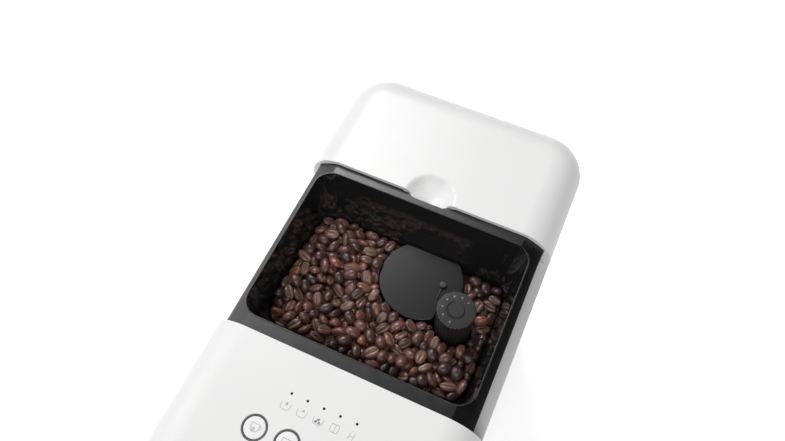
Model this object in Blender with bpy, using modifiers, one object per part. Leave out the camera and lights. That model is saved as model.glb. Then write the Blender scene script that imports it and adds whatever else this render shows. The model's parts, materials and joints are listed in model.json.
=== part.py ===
"""Narrow bean to cup coffee machine, free standing, seen from its front: -Y.

Metres, +Z up. The origin is in the middle of the footprint, on the surface the
machine stands on. X runs to the right of someone who faces the control panel.
"""

import math
import random

import bmesh
import bpy
from mathutils import Matrix, Vector

# Whole machine
BODY_WIDTH = 0.180
BODY_HEIGHT = 0.339
SEAT_GAP = 0.0003
RUN_GAP = 0.0006
CUT_OVERRUN = 0.004
WELD = 0.00001

# Outer shell
COVER_WALL = 0.003
COVER_SHOULDER = 0.025
COVER_SKIRT = 0.028
PANEL_WALL = 0.003
LEDGE_WIDTH = 0.007
LEDGE_TUCK = 0.004
LEDGE_THICK = 0.003
REAR_CORNER = 0.030
REAR_COVER_LENGTH = 0.0939
HOPPER_BAY = 0.1299
FRONT_CURVE = 0.075
FRONT_SETBACK = 0.0385
CUP_BAY_DEPTH = 0.100
MACHINE_ROOM_DEPTH = 0.2006
HEAD_HEIGHT = 0.133
HEAD_CORNER = 0.012
SIDE_REAR_SEAM = 0.0405
EDGE_ROUND = 0.0008

# Base and feet
FOOT_HEIGHT = 0.005
FOOT_RADIUS = 0.011
FOOT_TOP_RADIUS = 0.009
FOOT_INSET_X = 0.022
FOOT_INSET_FRONT = 0.030
FOOT_INSET_REAR = 0.034
BASE_THICK = 0.004
BASE_FRONT_NARROWING = 0.007
BASE_FRONT_SETBACK = 0.005
BASE_FRONT_CORNER = 0.020

# Finger scoop and tongue of the rear cover
SCOOP_RADIUS = 0.0165
SCOOP_DEPTH = 0.0075
SCOOP_SETBACK = 0.0009
SCOOP_BLOCK_REACH = 0.0185
SCOOP_BLOCK_SIDE = 0.002
SCOOP_FLOOR = 0.003
TONGUE_REACH = 0.0021
TONGUE_HALF_WIDTH = 0.0155
TONGUE_CORNER = 0.006
TONGUE_THICK = 0.0055
TONGUE_TOP_DROP = 0.005
TONGUE_ROOT = 0.006

# Bean hopper and its black frame
FRAME_DROP = 0.0035
FRAME_WALL = 0.0022
FRAME_SHOULDER = 0.017
FRAME_TUCK = 0.0045
LIP_DROP = 0.0025
LIP_LENGTH = 0.1151
LIP_SIDE_MARGIN = 0.006
LIP_CORNER = 0.013
LIP_SETBACK = 0.0011
LIP_THICK = 0.002
LIP_ROUND = 0.0006
BOWL_SLOPE_DEPTH = 0.032
BOWL_SIDE_SLOPE = 0.006
BOWL_FRONT_SLOPE = 0.007
BOWL_REAR_SLOPE = 0.0153
BOWL_DEPTH = 0.0525
BOWL_WALL = 0.002
THROAT_RADIUS = 0.020
THROAT_WALL = 0.002
THROAT_LENGTH = 0.004
NOTCH_GAP = 0.0005
NOTCH_SIDE_GAP = 0.0007

# Beans
BEAN_LEVEL_DROP = 0.0325
BEAN_LENGTH = 0.0092
BEAN_RISE = 0.0036
BEAN_GRID = 0.0038
BEAN_CLEARANCE = 0.0004
BEAN_PITCH_SHARE = 0.62
BEAN_WIDTH_SHARE = 0.72
BEAN_SEED = 7

# Grinder cover, index pin and grind knob
GRINDER_SETBACK = 0.01955
GRINDER_COVER_RADIUS = 0.0288
GRINDER_COVER_THICK = 0.004
GRINDER_COVER_DROP = 0.0295
GRINDER_COVER_WALL_GAP = 0.0008
COVER_LEG_RADIUS = 0.003
COVER_LEG_INSET = 0.0045
COVER_LEG_ANGLES = (30.0, 150.0, 250.0)
COVER_ROUND = 0.0006
PIN_X = 0.0150
PIN_Y = 0.0023
PIN_RADIUS = 0.0025
PIN_HEAD = 0.0016
PIN_STEM_RADIUS = 0.0012
PIN_STEM = 0.003
RIB_WIDTH = 0.001
RIB_LENGTH = 0.0085
RIB_HEIGHT = 0.0008
KNOB_LIP_GAP = 0.0307
KNOB_SETBACK = 0.00125
KNOB_RADIUS = 0.0128
KNOB_DROP = 0.0055
KNOB_HEAD = 0.0035
KNOB_ROUND = 0.0009
KNOB_HEIGHT = 0.0375
KNOB_FLUTE_DEPTH = 0.0011
KNOB_FLUTES = 24
KNOB_WALL = 0.0016
KNOB_NOTCH_GAP = 0.0013
KNOB_SOCKET_RADIUS = 0.0055
KNOB_SOCKET_DEPTH = 0.006
POST_RADIUS = 0.009
POST_WALL = 0.0048
POST_DROP = 0.014
KNOB_SHAFT_RADIUS = 0.003

# Gear pair between knob and grinder
GEAR_HEIGHT = 0.007
GEAR_MODULE = 0.001575
PINION_TEETH = 12
RING_TEETH = 36
TOOTH_TIP_SHARE = 0.78
TOOTH_ROOT_SHARE = 1.2
TOOTH_TIP_WIDTH_SHARE = 0.20
TOOTH_ROOT_WIDTH_SHARE = 0.46

# Grinder
BURR_SLEEVE_RADIUS = 0.0225
BURR_SLEEVE_LENGTH = 0.016
RING_BURR_WALL_TOP = 0.0020
RING_BURR_WALL_BOTTOM = 0.0050
RING_BURR_HEIGHT = 0.019
CONE_TOP_RADIUS = 0.0075
CONE_BOTTOM_RADIUS = 0.0135
CONE_HEIGHT = 0.022
CONE_FLUTE_SHARE = 0.90
CONE_FLUTES = 12
CONE_TWIST = 30.0
BURR_SHAFT_RADIUS = 0.0035
BURR_SHAFT_HEAD = 0.006
BURR_SHAFT_LENGTH = 0.046
HOUSING_RADIUS = 0.033
HOUSING_WALL = 0.003
HOUSING_HEIGHT = 0.030
GEARBOX_RADIUS = 0.030
GEARBOX_HEIGHT = 0.022
GRINDER_MOTOR_RADIUS = 0.0215
GRINDER_MOTOR_LENGTH = 0.060
CHUTE_RADIUS = 0.009
CHUTE_WALL = 0.0015
CHUTE_RUN = 0.026
CHUTE_FALL = 0.018

# Chassis
BULKHEAD_BEHIND_SEAM = 0.0014
CHASSIS_WALL = 0.003
CHASSIS_TOP_DROP = 0.034
TANK_FLOOR_DROP = 0.163
GRINDER_DECK_HALF = 0.050
WEB_FROM_GRINDER = 0.036
BREW_DECK_BELOW_HEAD = 0.071
BREW_DECK_SIDE = 0.012
BREW_DECK_BEHIND = 0.020
PUCK_HOLE = 0.026
DECK_FRONT_GAP = 0.0003

# Brew group
BREW_BOILER_GAP = 0.0134
BREW_GRINDER_GAP = 0.0043
BREW_HALF_WIDTH = 0.040
BREW_HALF_DEPTH = 0.030
BREW_HEIGHT = 0.086
BREW_WALL = 0.004
BREW_CYLINDER_RADIUS = 0.024
BREW_BORE = 0.0195
BREW_CYLINDER_HEIGHT = 0.034
BREW_FOOT_HOLE = 0.012
PISTON_CLEARANCE = 0.0004
PISTON_HEIGHT = 0.012
PISTON_ROD_RADIUS = 0.006
PISTON_LIFT = 0.002
PISTON_STROKE = 0.024
SPINDLE_RADIUS = 0.003
SPINDLE_OFFSET_X = 0.030
SPINDLE_COLLAR_RADIUS = 0.0055
SPINDLE_COLLAR = 0.003
BREW_MOTOR_RADIUS = 0.013
BREW_MOTOR_HEIGHT = 0.024

# Boiler, pump, flow meter and water lines
BOILER_WIDTH = 0.030
BOILER_DEPTH = 0.060
BOILER_HEIGHT = 0.056
BOILER_FIN = 0.003
BOILER_FINS = 6
PUMP_RADIUS = 0.0175
PUMP_LENGTH = 0.070
PUMP_NECK_RADIUS = 0.008
PUMP_NECK = 0.018
PUMP_SIDE_GAP = 0.042
PUMP_REAR_GAP = 0.016
PUMP_HEIGHT = 0.036
PUMP_COIL_WIDTH = 0.044
PUMP_COIL_LENGTH = 0.032
MOUNT_THICK = 0.006
MOUNT_WIDTH = 0.030
MOUNT_RISE = 0.010
FLOW_METER_RADIUS = 0.014
FLOW_METER_HEIGHT = 0.020
FLOW_METER_X = 0.040
FLOW_METER_REAR_GAP = 0.045
FLOW_NIPPLE_RADIUS = 0.003
FLOW_NIPPLE = 0.006
HOSE_RADIUS = 0.003
HOSE_BEND_POINTS = 4

# Boards and power inlet
BOARD_THICK = 0.0016
PANEL_BOARD_WIDTH = 0.096
PANEL_BOARD_DEPTH = 0.058
SWITCH_RADIUS = 0.0025
SWITCH_HEIGHT = 0.0015
CONTROL_BOARD_WIDTH = 0.090
CONTROL_BOARD_HEIGHT = 0.090
CONTROL_BOARD_SIDE_GAP = 0.064
CONTROL_BOARD_DROP = 0.011
BOARD_STANDOFF = 0.006
STANDOFF_RADIUS = 0.003
RELAY_SIZE = 0.016
INLET_WIDTH = 0.028
INLET_HEIGHT = 0.020
INLET_DEPTH = 0.016
INLET_FLANGE = 0.003
INLET_FLANGE_THICK = 0.002
INLET_CORNER_GAP = 0.003
INLET_Z = 0.042
INLET_WALL = 0.003
INLET_PIN_WIDTH = 0.002
INLET_PIN_HEIGHT = 0.004
INLET_PIN_PITCH = 0.007

# Vents of the back panel
VENT_LENGTH = 0.060
VENT_WIDTH = 0.003
VENT_PITCH = 0.008
VENT_COUNT = 8
VENT_LOWEST = 0.084

# Control panel
BUTTON_ROW_SETBACK = 0.0502
BUTTON_PITCH = 0.0207
BUTTON_RING_RADIUS = 0.00724
BUTTON_RING_STROKE = 0.001
BUTTON_GAP = 0.0003
BUTTON_TRAVEL = 0.0012
BUTTON_FLANGE_RADIUS = 0.0082
BUTTON_FLANGE_THICK = 0.0015
BUTTON_FLANGE_PLAY = 0.0003
BUTTON_ROUND = 0.0005
GUIDE_THICK = 0.002
GUIDE_MARGIN = 0.010
LIGHT_ROW_SETBACK = 0.0246
LIGHT_PITCH = 0.0105
LIGHT_RADIUS = 0.00075
LIGHT_COUNT = 5
LIGHT_BAR_MARGIN = 0.0025
BUTTON_NAMES = ("button_small_cup", "button_large_cup", "button_strength", "button_power")

# Spout
SPOUT_HALF_WIDTH = 0.030
SPOUT_PROUD = 0.014
SPOUT_BACK_DEPTH = 0.028
SPOUT_BELOW_HEAD = 0.012
SPOUT_CORNER = 0.012
SPOUT_WINDOW_GAP = 0.001
SPOUT_SLIDER_HALF = 0.018
SPOUT_SLIDER_THICK = 0.004
SPOUT_SLIDER_HEIGHT = 0.100
SPOUT_NECK_HALF = 0.010
SPOUT_NECK_DEPTH = 0.006
SPOUT_GUIDE_WALL = 0.003
SPOUT_GUIDE_HEIGHT = 0.088
NOZZLE_RADIUS = 0.0048
NOZZLE_WALL = 0.0014
NOZZLE_LENGTH = 0.020
NOZZLE_SOCKET = 0.008
NOZZLE_HALF_PITCH = 0.014
NOZZLE_SETBACK = 0.014

# Drip tray, grille, float and grounds container
TRAY_SIDE_INSET = 0.006
TRAY_HEIGHT = 0.046
TRAY_WALL = 0.0025
TRAY_FLOOR = 0.003
TRAY_CORNER = 0.024
TRAY_BIN_GAP = 0.0032
TRAY_REAR_REACH = 0.106
TRAY_REAR_HEIGHT = 0.022
TRAY_RUN_GAP = 0.0006
TRAY_SPLASH_GAP = 0.0010
GRILLE_THICK = 0.0025
GRILLE_INSET = 0.0012
SLOT_WIDTH = 0.0042
SLOT_SIDE_MARGIN = 0.0138
SLOT_PITCH = 0.0088
SLOT_ROWS = 12
SLOT_GAP = 0.010
SLOT_FRONT_MARGIN = 0.016
FLOAT_RADIUS = 0.010
FLOAT_HEIGHT = 0.007
FLOAT_STEM_RADIUS = 0.003
FLOAT_STEM_CLEARANCE = 0.0012
FLOAT_RIM_PROUD = 0.002
FLOAT_Y_FROM_SPLASH = 0.016
BIN_BEHIND_FRONT = 0.0057
BIN_WALL = 0.002
BIN_DECK_GAP = 0.002
BIN_CORNER = 0.006
BIN_FRONT_SIDE_GAP = 0.0245
BIN_FRONT_GRILLE_GAP = 0.0037
BIN_FRONT_RISE = 0.0115
BIN_OPENING_GAP = 0.0005
BIN_GRIP_WIDTH = 0.044
BIN_GRIP_HEIGHT = 0.012
BIN_GRIP_DROP = 0.020
BIN_GRIP_DEPTH = 0.0018

# Water tank
TANK_SIDE_INSET = 0.0105
TANK_FRONT_GAP = 0.004
TANK_REAR_INSET = 0.0085
TANK_TOP_DROP = 0.019
TANK_WALL = 0.0025
TANK_FRONT_CORNER = 0.008
TANK_REAR_CORNER = 0.024
VALVE_X = -0.040
VALVE_SETBACK = 0.024
VALVE_RADIUS = 0.008
VALVE_BORE = 0.004
VALVE_RISE = 0.006
VALVE_FLANGE_RADIUS = 0.012
VALVE_FLANGE = 0.002
SEAT_RADIUS = 0.012
SEAT_LENGTH = 0.010

# Service door in the right side panel
DOOR_BEHIND_SPLASH = 0.016
DOOR_BEHIND_DECK = 0.002
DOOR_ABOVE_TRAY = 0.007
DOOR_ABOVE_BREW = 0.0167
DOOR_CORNER = 0.008
DOOR_GAP = 0.0005
DOOR_RIM = 0.003
DOOR_RIM_WALL = 0.002
DOOR_RIM_INSET = 0.002
GRIP_RADIUS = 0.012
GRIP_DEPTH = 0.002

# Smoothness of round shapes
ROUND_SIDES = 28
SMALL_SIDES = 14
RING_SIDES = 22
ARC_STEPS = 5
SHARP_ANGLE = math.radians(35)

# Lines that many pieces share
HALF_WIDTH = BODY_WIDTH / 2
HEAD_BOTTOM = BODY_HEIGHT - HEAD_HEIGHT
BODY_DEPTH = FRONT_SETBACK + CUP_BAY_DEPTH + MACHINE_ROOM_DEPTH + REAR_COVER_LENGTH
FRONT = -BODY_DEPTH / 2
REAR = BODY_DEPTH / 2
REAR_SEAM = REAR - REAR_COVER_LENGTH
FRONT_SEAM = REAR_SEAM - HOPPER_BAY
FASCIA_FACE = FRONT + FRONT_SETBACK
CURVE_Y = FASCIA_FACE + FRONT_CURVE
CURVE_Z = BODY_HEIGHT - FRONT_CURVE
SPLASH_FACE = FASCIA_FACE + CUP_BAY_DEPTH
BASE_TOP = FOOT_HEIGHT + BASE_THICK
LEDGE_TOP = BODY_HEIGHT - COVER_SKIRT - SEAT_GAP
COVER_INSIDE = BODY_HEIGHT - COVER_WALL
SIDE_REAR = REAR - SIDE_REAR_SEAM
LIP_TOP = BODY_HEIGHT - LIP_DROP
LIP_Y = (FRONT_SEAM + REAR_SEAM) / 2 + LIP_SETBACK
BOWL_FLOOR = LIP_TOP - BOWL_DEPTH
BOWL_BOTTOM = BOWL_FLOOR - BOWL_WALL
LIP_WIDTH = BODY_WIDTH - 2 * (LEDGE_WIDTH + LIP_SIDE_MARGIN)
GRINDER_Y = LIP_Y + GRINDER_SETBACK
KNOB_X = LIP_WIDTH / 2 - KNOB_LIP_GAP
KNOB_Y = LIP_Y - KNOB_SETBACK
GEAR_DISTANCE = GEAR_MODULE * (PINION_TEETH + RING_TEETH) / 2
GRINDER_X = KNOB_X - math.sqrt(GEAR_DISTANCE ** 2 - (GRINDER_SETBACK + KNOB_SETBACK) ** 2)
KNOB_TOP = BODY_HEIGHT - KNOB_DROP
GEAR_TOP = BOWL_BOTTOM - THROAT_LENGTH - RUN_GAP
GEAR_BOTTOM = GEAR_TOP - GEAR_HEIGHT
HOUSING_TOP = GEAR_BOTTOM - SEAT_GAP
HOUSING_BOTTOM = HOUSING_TOP - HOUSING_HEIGHT
GEARBOX_TOP = HOUSING_BOTTOM - SEAT_GAP
GEARBOX_BOTTOM = GEARBOX_TOP - GEARBOX_HEIGHT
GRINDER_DECK_TOP = GEARBOX_BOTTOM - SEAT_GAP
BULKHEAD_FRONT = REAR_SEAM + BULKHEAD_BEHIND_SEAM
BULKHEAD_REAR = BULKHEAD_FRONT + CHASSIS_WALL
SIDE_INSIDE = HALF_WIDTH - PANEL_WALL - SEAT_GAP
BUTTON_Y = FRONT_SEAM - BUTTON_ROW_SETBACK
LIGHT_Y = FRONT_SEAM - LIGHT_ROW_SETBACK
BUTTON_CAP_RADIUS = BUTTON_RING_RADIUS - BUTTON_RING_STROKE / 2 - BUTTON_GAP
RING_INNER = BUTTON_RING_RADIUS - BUTTON_RING_STROKE / 2
RING_OUTER = BUTTON_RING_RADIUS + BUTTON_RING_STROKE / 2
GUIDE_TOP = COVER_INSIDE - SEAT_GAP
GUIDE_BOTTOM = GUIDE_TOP - GUIDE_THICK
TRAY_BOTTOM = BASE_TOP + TRAY_RUN_GAP
TRAY_TOP = BASE_TOP + TRAY_HEIGHT
TRAY_BACK = SPLASH_FACE - TRAY_SPLASH_GAP
TRAY_HALF_WIDTH = HALF_WIDTH - TRAY_SIDE_INSET
BIN_FRONT_HALF_WIDTH = HALF_WIDTH - BIN_FRONT_SIDE_GAP
BIN_HALF_WIDTH = BIN_FRONT_HALF_WIDTH - BIN_BEHIND_FRONT
TRAY_REAR_HALF_WIDTH = BIN_HALF_WIDTH + TRAY_BIN_GAP
SLOT_LENGTH = TRAY_HALF_WIDTH - GRILLE_INSET - SLOT_SIDE_MARGIN - SLOT_GAP / 2
TANK_FLOOR = BODY_HEIGHT - TANK_FLOOR_DROP
BREW_DECK = HEAD_BOTTOM - BREW_DECK_BELOW_HEAD
TANK_HALF_WIDTH = HALF_WIDTH - TANK_SIDE_INSET
TANK_FRONT = BULKHEAD_REAR + TANK_FRONT_GAP
TANK_REAR = REAR - TANK_REAR_INSET
TANK_BOTTOM = TANK_FLOOR + SEAT_GAP
TANK_TOP = BODY_HEIGHT - TANK_TOP_DROP
VALVE_Y = TANK_FRONT + VALVE_SETBACK
BOILER_LEFT = CHASSIS_WALL + SEAT_GAP - SIDE_INSIDE
BREW_X = BOILER_LEFT + BOILER_WIDTH + BREW_BOILER_GAP + BREW_HALF_WIDTH
BREW_Y = GRINDER_Y - GRINDER_DECK_HALF - BREW_GRINDER_GAP - BREW_HALF_DEPTH
BREW_DECK_RIGHT = BREW_X + BREW_HALF_WIDTH + BREW_DECK_SIDE
BREW_DECK_REAR = BREW_Y + BREW_HALF_DEPTH + BREW_DECK_BEHIND
BREW_BOTTOM = BREW_DECK + SEAT_GAP
BREW_TOP = BREW_BOTTOM + BREW_HEIGHT
BIN_TOP = BREW_DECK - CHASSIS_WALL - BIN_DECK_GAP
BIN_FRONT_TOP = BIN_TOP + BIN_FRONT_RISE
BIN_FRONT_BOTTOM = TRAY_TOP + SEAT_GAP + GRILLE_THICK + BIN_FRONT_GRILLE_GAP
DOOR_FRONT = SPLASH_FACE + DOOR_BEHIND_SPLASH
DOOR_BOTTOM = TRAY_TOP + DOOR_ABOVE_TRAY
DOOR_REAR = BREW_DECK_REAR + DOOR_BEHIND_DECK
DOOR_TOP = BREW_TOP + DOOR_ABOVE_BREW
PUMP_X = PUMP_SIDE_GAP - HALF_WIDTH
CONTROL_BOARD_X = HALF_WIDTH - CONTROL_BOARD_SIDE_GAP
CONTROL_BOARD_Z = TANK_FLOOR - CHASSIS_WALL - CONTROL_BOARD_DROP - CONTROL_BOARD_HEIGHT
INLET_X = HALF_WIDTH - REAR_CORNER - INLET_CORNER_GAP - INLET_FLANGE - INLET_WIDTH / 2


# Scene, materials and placing

def empty_scene():
    """Removes what the file holds, so the model stands alone."""
    for thing in list(bpy.data.objects):
        bpy.data.objects.remove(thing, do_unlink=True)


def collection(name):
    """The collection of that name, made when it isn't there yet."""
    found = bpy.data.collections.get(name)
    if found is None:
        found = bpy.data.collections.new(name)
        bpy.context.scene.collection.children.link(found)
    return found


def finish(name, colour, roughness, metallic=0.0, alpha=1.0):
    """A Principled material."""
    made = bpy.data.materials.new(name)
    made.use_nodes = True
    shader = made.node_tree.nodes["Principled BSDF"]
    shader.inputs["Base Color"].default_value = (*colour, 1.0)
    shader.inputs["Roughness"].default_value = roughness
    shader.inputs["Metallic"].default_value = metallic
    shader.inputs["Alpha"].default_value = alpha
    return made


def add_object(name, data):
    """Puts new data into the machine's collection."""
    thing = bpy.data.objects.new(name, data)
    collection("coffee_machine").objects.link(thing)
    return thing


def as_cutter(thing):
    """Makes an object a hidden helper that only shapes other pieces."""
    for home in list(thing.users_collection):
        home.objects.unlink(thing)
    collection("cutters").objects.link(thing)
    thing.hide_render = True
    thing.display_type = "WIRE"
    return thing


def set_origin(thing, point):
    """Moves the origin to a point and leaves the shape where it is."""
    shift = Vector(point) - thing.location
    thing.data.transform(Matrix.Translation(-shift))
    thing.location = Vector(point)
    return thing


def dress(thing, material, smooth=False):
    """Gives a piece its own finish."""
    thing.data.materials.clear()
    thing.data.materials.append(material)
    if smooth:
        thing.data.shade_smooth()
        thing.data.set_sharp_from_angle(angle=SHARP_ANGLE)
    return thing


def combine(target, tool, operation):
    """Adds one Boolean modifier and hides the tool."""
    as_cutter(tool)
    change = target.modifiers.new(tool.name, "BOOLEAN")
    change.operation = operation
    change.object = tool
    change.solver = "EXACT"
    return target


def cut(target, tool):
    return combine(target, tool, "DIFFERENCE")


def join(target, tool):
    return combine(target, tool, "UNION")


def bevel(thing, width, steps=2):
    """Rounds the sharp edges."""
    edge = thing.modifiers.new("edge_round", "BEVEL")
    edge.width = width
    edge.segments = steps
    edge.limit_method = "ANGLE"
    edge.angle_limit = SHARP_ANGLE
    return thing


def from_bmesh(name, shape):
    """An object from a finished bmesh."""
    mesh = bpy.data.meshes.new(name)
    shape.to_mesh(mesh)
    shape.free()
    return add_object(name, mesh)


# Basic shapes

def block(name, low, high):
    """A box between two corners, its origin at its middle."""
    low = Vector(low)
    high = Vector(high)
    size = high - low
    shape = bmesh.new()
    bmesh.ops.create_cube(shape, size=1.0, matrix=Matrix.Diagonal((*size, 1.0)))
    made = from_bmesh(name, shape)
    made.location = (low + high) / 2
    return made


def drum(name, centre, radius, bottom, top, sides=ROUND_SIDES, top_radius=None):
    """An upright cylinder or cone, its origin at the middle of its base."""
    height = top - bottom
    shape = bmesh.new()
    bmesh.ops.create_cone(
        shape, cap_ends=True, segments=sides, radius1=radius,
        radius2=radius if top_radius is None else top_radius, depth=height,
        matrix=Matrix.Translation((0, 0, height / 2)))
    made = from_bmesh(name, shape)
    made.location = (centre[0], centre[1], bottom)
    return made


def turned(name, place, profile, sides=ROUND_SIDES):
    """A closed or axis-to-axis profile of (radius, height), spun about its origin."""
    shape = bmesh.new()
    points = [shape.verts.new((radius, 0, height)) for radius, height in profile]
    for first, second in zip(points, points[1:]):
        shape.edges.new((first, second))
    if profile[0][0] > 0:
        shape.edges.new((points[-1], points[0]))
    made = from_bmesh(name, shape)
    spin = made.modifiers.new("spin", "SCREW")
    spin.steps = sides
    spin.render_steps = sides
    spin.use_merge_vertices = True
    spin.merge_threshold = WELD
    made.location = place
    return made


def arc(centre, radius, start, end, steps=ARC_STEPS):
    """Points on an arc, angles in degrees, both ends included."""
    points = []
    for step in range(steps + 1):
        angle = math.radians(start + (end - start) * step / steps)
        points.append((centre[0] + radius * math.cos(angle), centre[1] + radius * math.sin(angle)))
    return points


def circle(centre, radius, sides=SMALL_SIDES):
    """Points of a full circle."""
    return arc(centre, radius, 0, 360, sides)[:-1]


def round_rectangle(low, high, corners, steps=ARC_STEPS):
    """Outline of a rectangle; corners are the radii at its (-,-), (+,-), (+,+), (-,+) corners."""
    places = ((low[0], low[1], 1, 1, 180), (high[0], low[1], -1, 1, 270),
              (high[0], high[1], -1, -1, 0), (low[0], high[1], 1, -1, 90))
    points = []
    for (x, y, side_x, side_y, start), radius in zip(places, corners):
        points += arc((x + side_x * radius, y + side_y * radius), radius, start, start + 90, steps)
    return points


def plate(name, outline, low, high, axis="Z", holes=()):
    """A flat outline with holes, given its thickness along one axis from low to high."""
    curve = bpy.data.curves.new(name, "CURVE")
    curve.dimensions = "2D"
    curve.fill_mode = "BOTH"
    curve.extrude = (high - low) / 2
    for points in (outline, *holes):
        spline = curve.splines.new("POLY")
        spline.points.add(len(points) - 1)
        for target, (u, v) in zip(spline.points, points):
            target.co = (u, v, 0, 1)
        spline.use_cyclic_u = True
    holder = add_object(name + "_outline", curve)
    seen = holder.evaluated_get(bpy.context.evaluated_depsgraph_get())
    mesh = bpy.data.meshes.new_from_object(seen)
    mesh.name = name
    bpy.data.objects.remove(holder, do_unlink=True)
    shape = bmesh.new()
    shape.from_mesh(mesh)
    bmesh.ops.remove_doubles(shape, verts=shape.verts, dist=WELD)
    turn = {
        "Z": Matrix.Identity(4),
        "Y": Matrix(((1, 0, 0, 0), (0, 0, -1, 0), (0, 1, 0, 0), (0, 0, 0, 1))),
        "X": Matrix(((0, 0, 1, 0), (1, 0, 0, 0), (0, 1, 0, 0), (0, 0, 0, 1))),
    }[axis]
    shape.transform(turn)
    shape.to_mesh(mesh)
    shape.free()
    made = add_object(name, mesh)
    middle = (low + high) / 2
    made.location = {"Z": (0, 0, middle), "Y": (0, middle, 0), "X": (middle, 0, 0)}[axis]
    return made


def loft(name, loops, cap_start=True, cap_end=True):
    """Joins closed loops of equal length with faces; the loops run anticlockwise going up."""
    shape = bmesh.new()
    rings = [[shape.verts.new(point) for point in loop] for loop in loops]
    for lower, upper in zip(rings, rings[1:]):
        for index in range(len(lower)):
            after = (index + 1) % len(lower)
            shape.faces.new((lower[index], lower[after], upper[after], upper[index]))
    if cap_start:
        shape.faces.new(list(reversed(rings[0])))
    if cap_end:
        shape.faces.new(rings[-1])
    return from_bmesh(name, shape)


def sheet(name, rows):
    """An open surface through rows of points."""
    shape = bmesh.new()
    grid = [[shape.verts.new(point) for point in row] for row in rows]
    for near, far in zip(grid, grid[1:]):
        for index in range(len(near) - 1):
            shape.faces.new((near[index], near[index + 1], far[index + 1], far[index]))
    return from_bmesh(name, shape)


def thicken(thing, wall, inward=True):
    """Gives an open surface its wall."""
    wall_change = thing.modifiers.new("wall", "SOLIDIFY")
    wall_change.thickness = wall
    wall_change.offset = -1 if inward else 1
    wall_change.use_even_offset = True
    wall_change.use_rim = True
    return thing


def tube(name, points, radius, material):
    """A round hose through a list of points."""
    curve = bpy.data.curves.new(name, "CURVE")
    curve.dimensions = "3D"
    curve.bevel_depth = radius
    curve.bevel_resolution = 2
    curve.use_fill_caps = True
    spline = curve.splines.new("POLY")
    spline.points.add(len(points) - 1)
    for target, point in zip(spline.points, points):
        target.co = (*point, 1)
    made = add_object(name, curve)
    made.data.materials.append(material)
    return made


def smooth_route(corners, bend):
    """Points along a route whose corners are rounded over a bend length."""
    corners = [Vector(corner) for corner in corners]
    points = [corners[0]]
    for before, corner, after in zip(corners, corners[1:], corners[2:]):
        start = corner + (before - corner).normalized() * bend
        end = corner + (after - corner).normalized() * bend
        for step in range(HOSE_BEND_POINTS + 1):
            share = step / HOSE_BEND_POINTS
            points.append(start.lerp(corner, share).lerp(corner.lerp(end, share), share))
    points.append(corners[-1])
    return points


# Outer shell

def cover_section(half_width, shoulder, skirt):
    """Half-tunnel outline as (x, depth below the crown), from the right edge to the left edge."""
    right = [(half_width, skirt)]
    right += [(x, -y) for x, y in arc((half_width - shoulder, -shoulder), shoulder, 0, 90)]
    return right + [(-x, depth) for x, depth in reversed(right)]


def sweep_section(section, path):
    """Rows of points of a section carried along (y, z, normal y, normal z) stations."""
    rows = []
    for y, z, normal_y, normal_z in path:
        rows.append([(x, y - normal_y * depth, z - normal_z * depth) for x, depth in section])
    return rows


def front_path():
    """From the rear edge of the front cover, forward and down round its big front curve."""
    path = [(FRONT_SEAM, BODY_HEIGHT, 0, 1)]
    for y, z in arc((CURVE_Y, CURVE_Z), FRONT_CURVE, 90, 180, 2 * ARC_STEPS):
        path.append((y, z, (y - CURVE_Y) / FRONT_CURVE, (z - CURVE_Z) / FRONT_CURVE))
    return path


def button_places():
    """Centres of the four buttons, left to right."""
    count = len(BUTTON_NAMES)
    return [((index - (count - 1) / 2) * BUTTON_PITCH, BUTTON_Y) for index in range(count)]


def light_places():
    """Centres of the indicator lights, left to right."""
    return [((index - (LIGHT_COUNT - 1) / 2) * LIGHT_PITCH, LIGHT_Y) for index in range(LIGHT_COUNT)]


def make_front_cover():
    section = cover_section(HALF_WIDTH, COVER_SHOULDER, COVER_SKIRT)
    cover = sheet("front_cover", sweep_section(section, front_path()))
    thicken(cover, COVER_WALL)
    low = COVER_INSIDE - CUT_OVERRUN
    high = BODY_HEIGHT + CUT_OVERRUN
    for index, centre in enumerate(button_places()):
        hole = drum("cut_button_%d" % index, centre, RING_OUTER + BUTTON_GAP, low, high, sides=RING_SIDES)
        cut(cover, hole)
    for index, centre in enumerate(light_places()):
        hole = drum("cut_light_%d" % index, centre, LIGHT_RADIUS + BUTTON_GAP, low, high, sides=12)
        cut(cover, hole)
    dress(cover, finish("white_gloss_plastic", (0.86, 0.86, 0.85), 0.28), smooth=True)
    return set_origin(cover, (0, FRONT_SEAM, BODY_HEIGHT))


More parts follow.
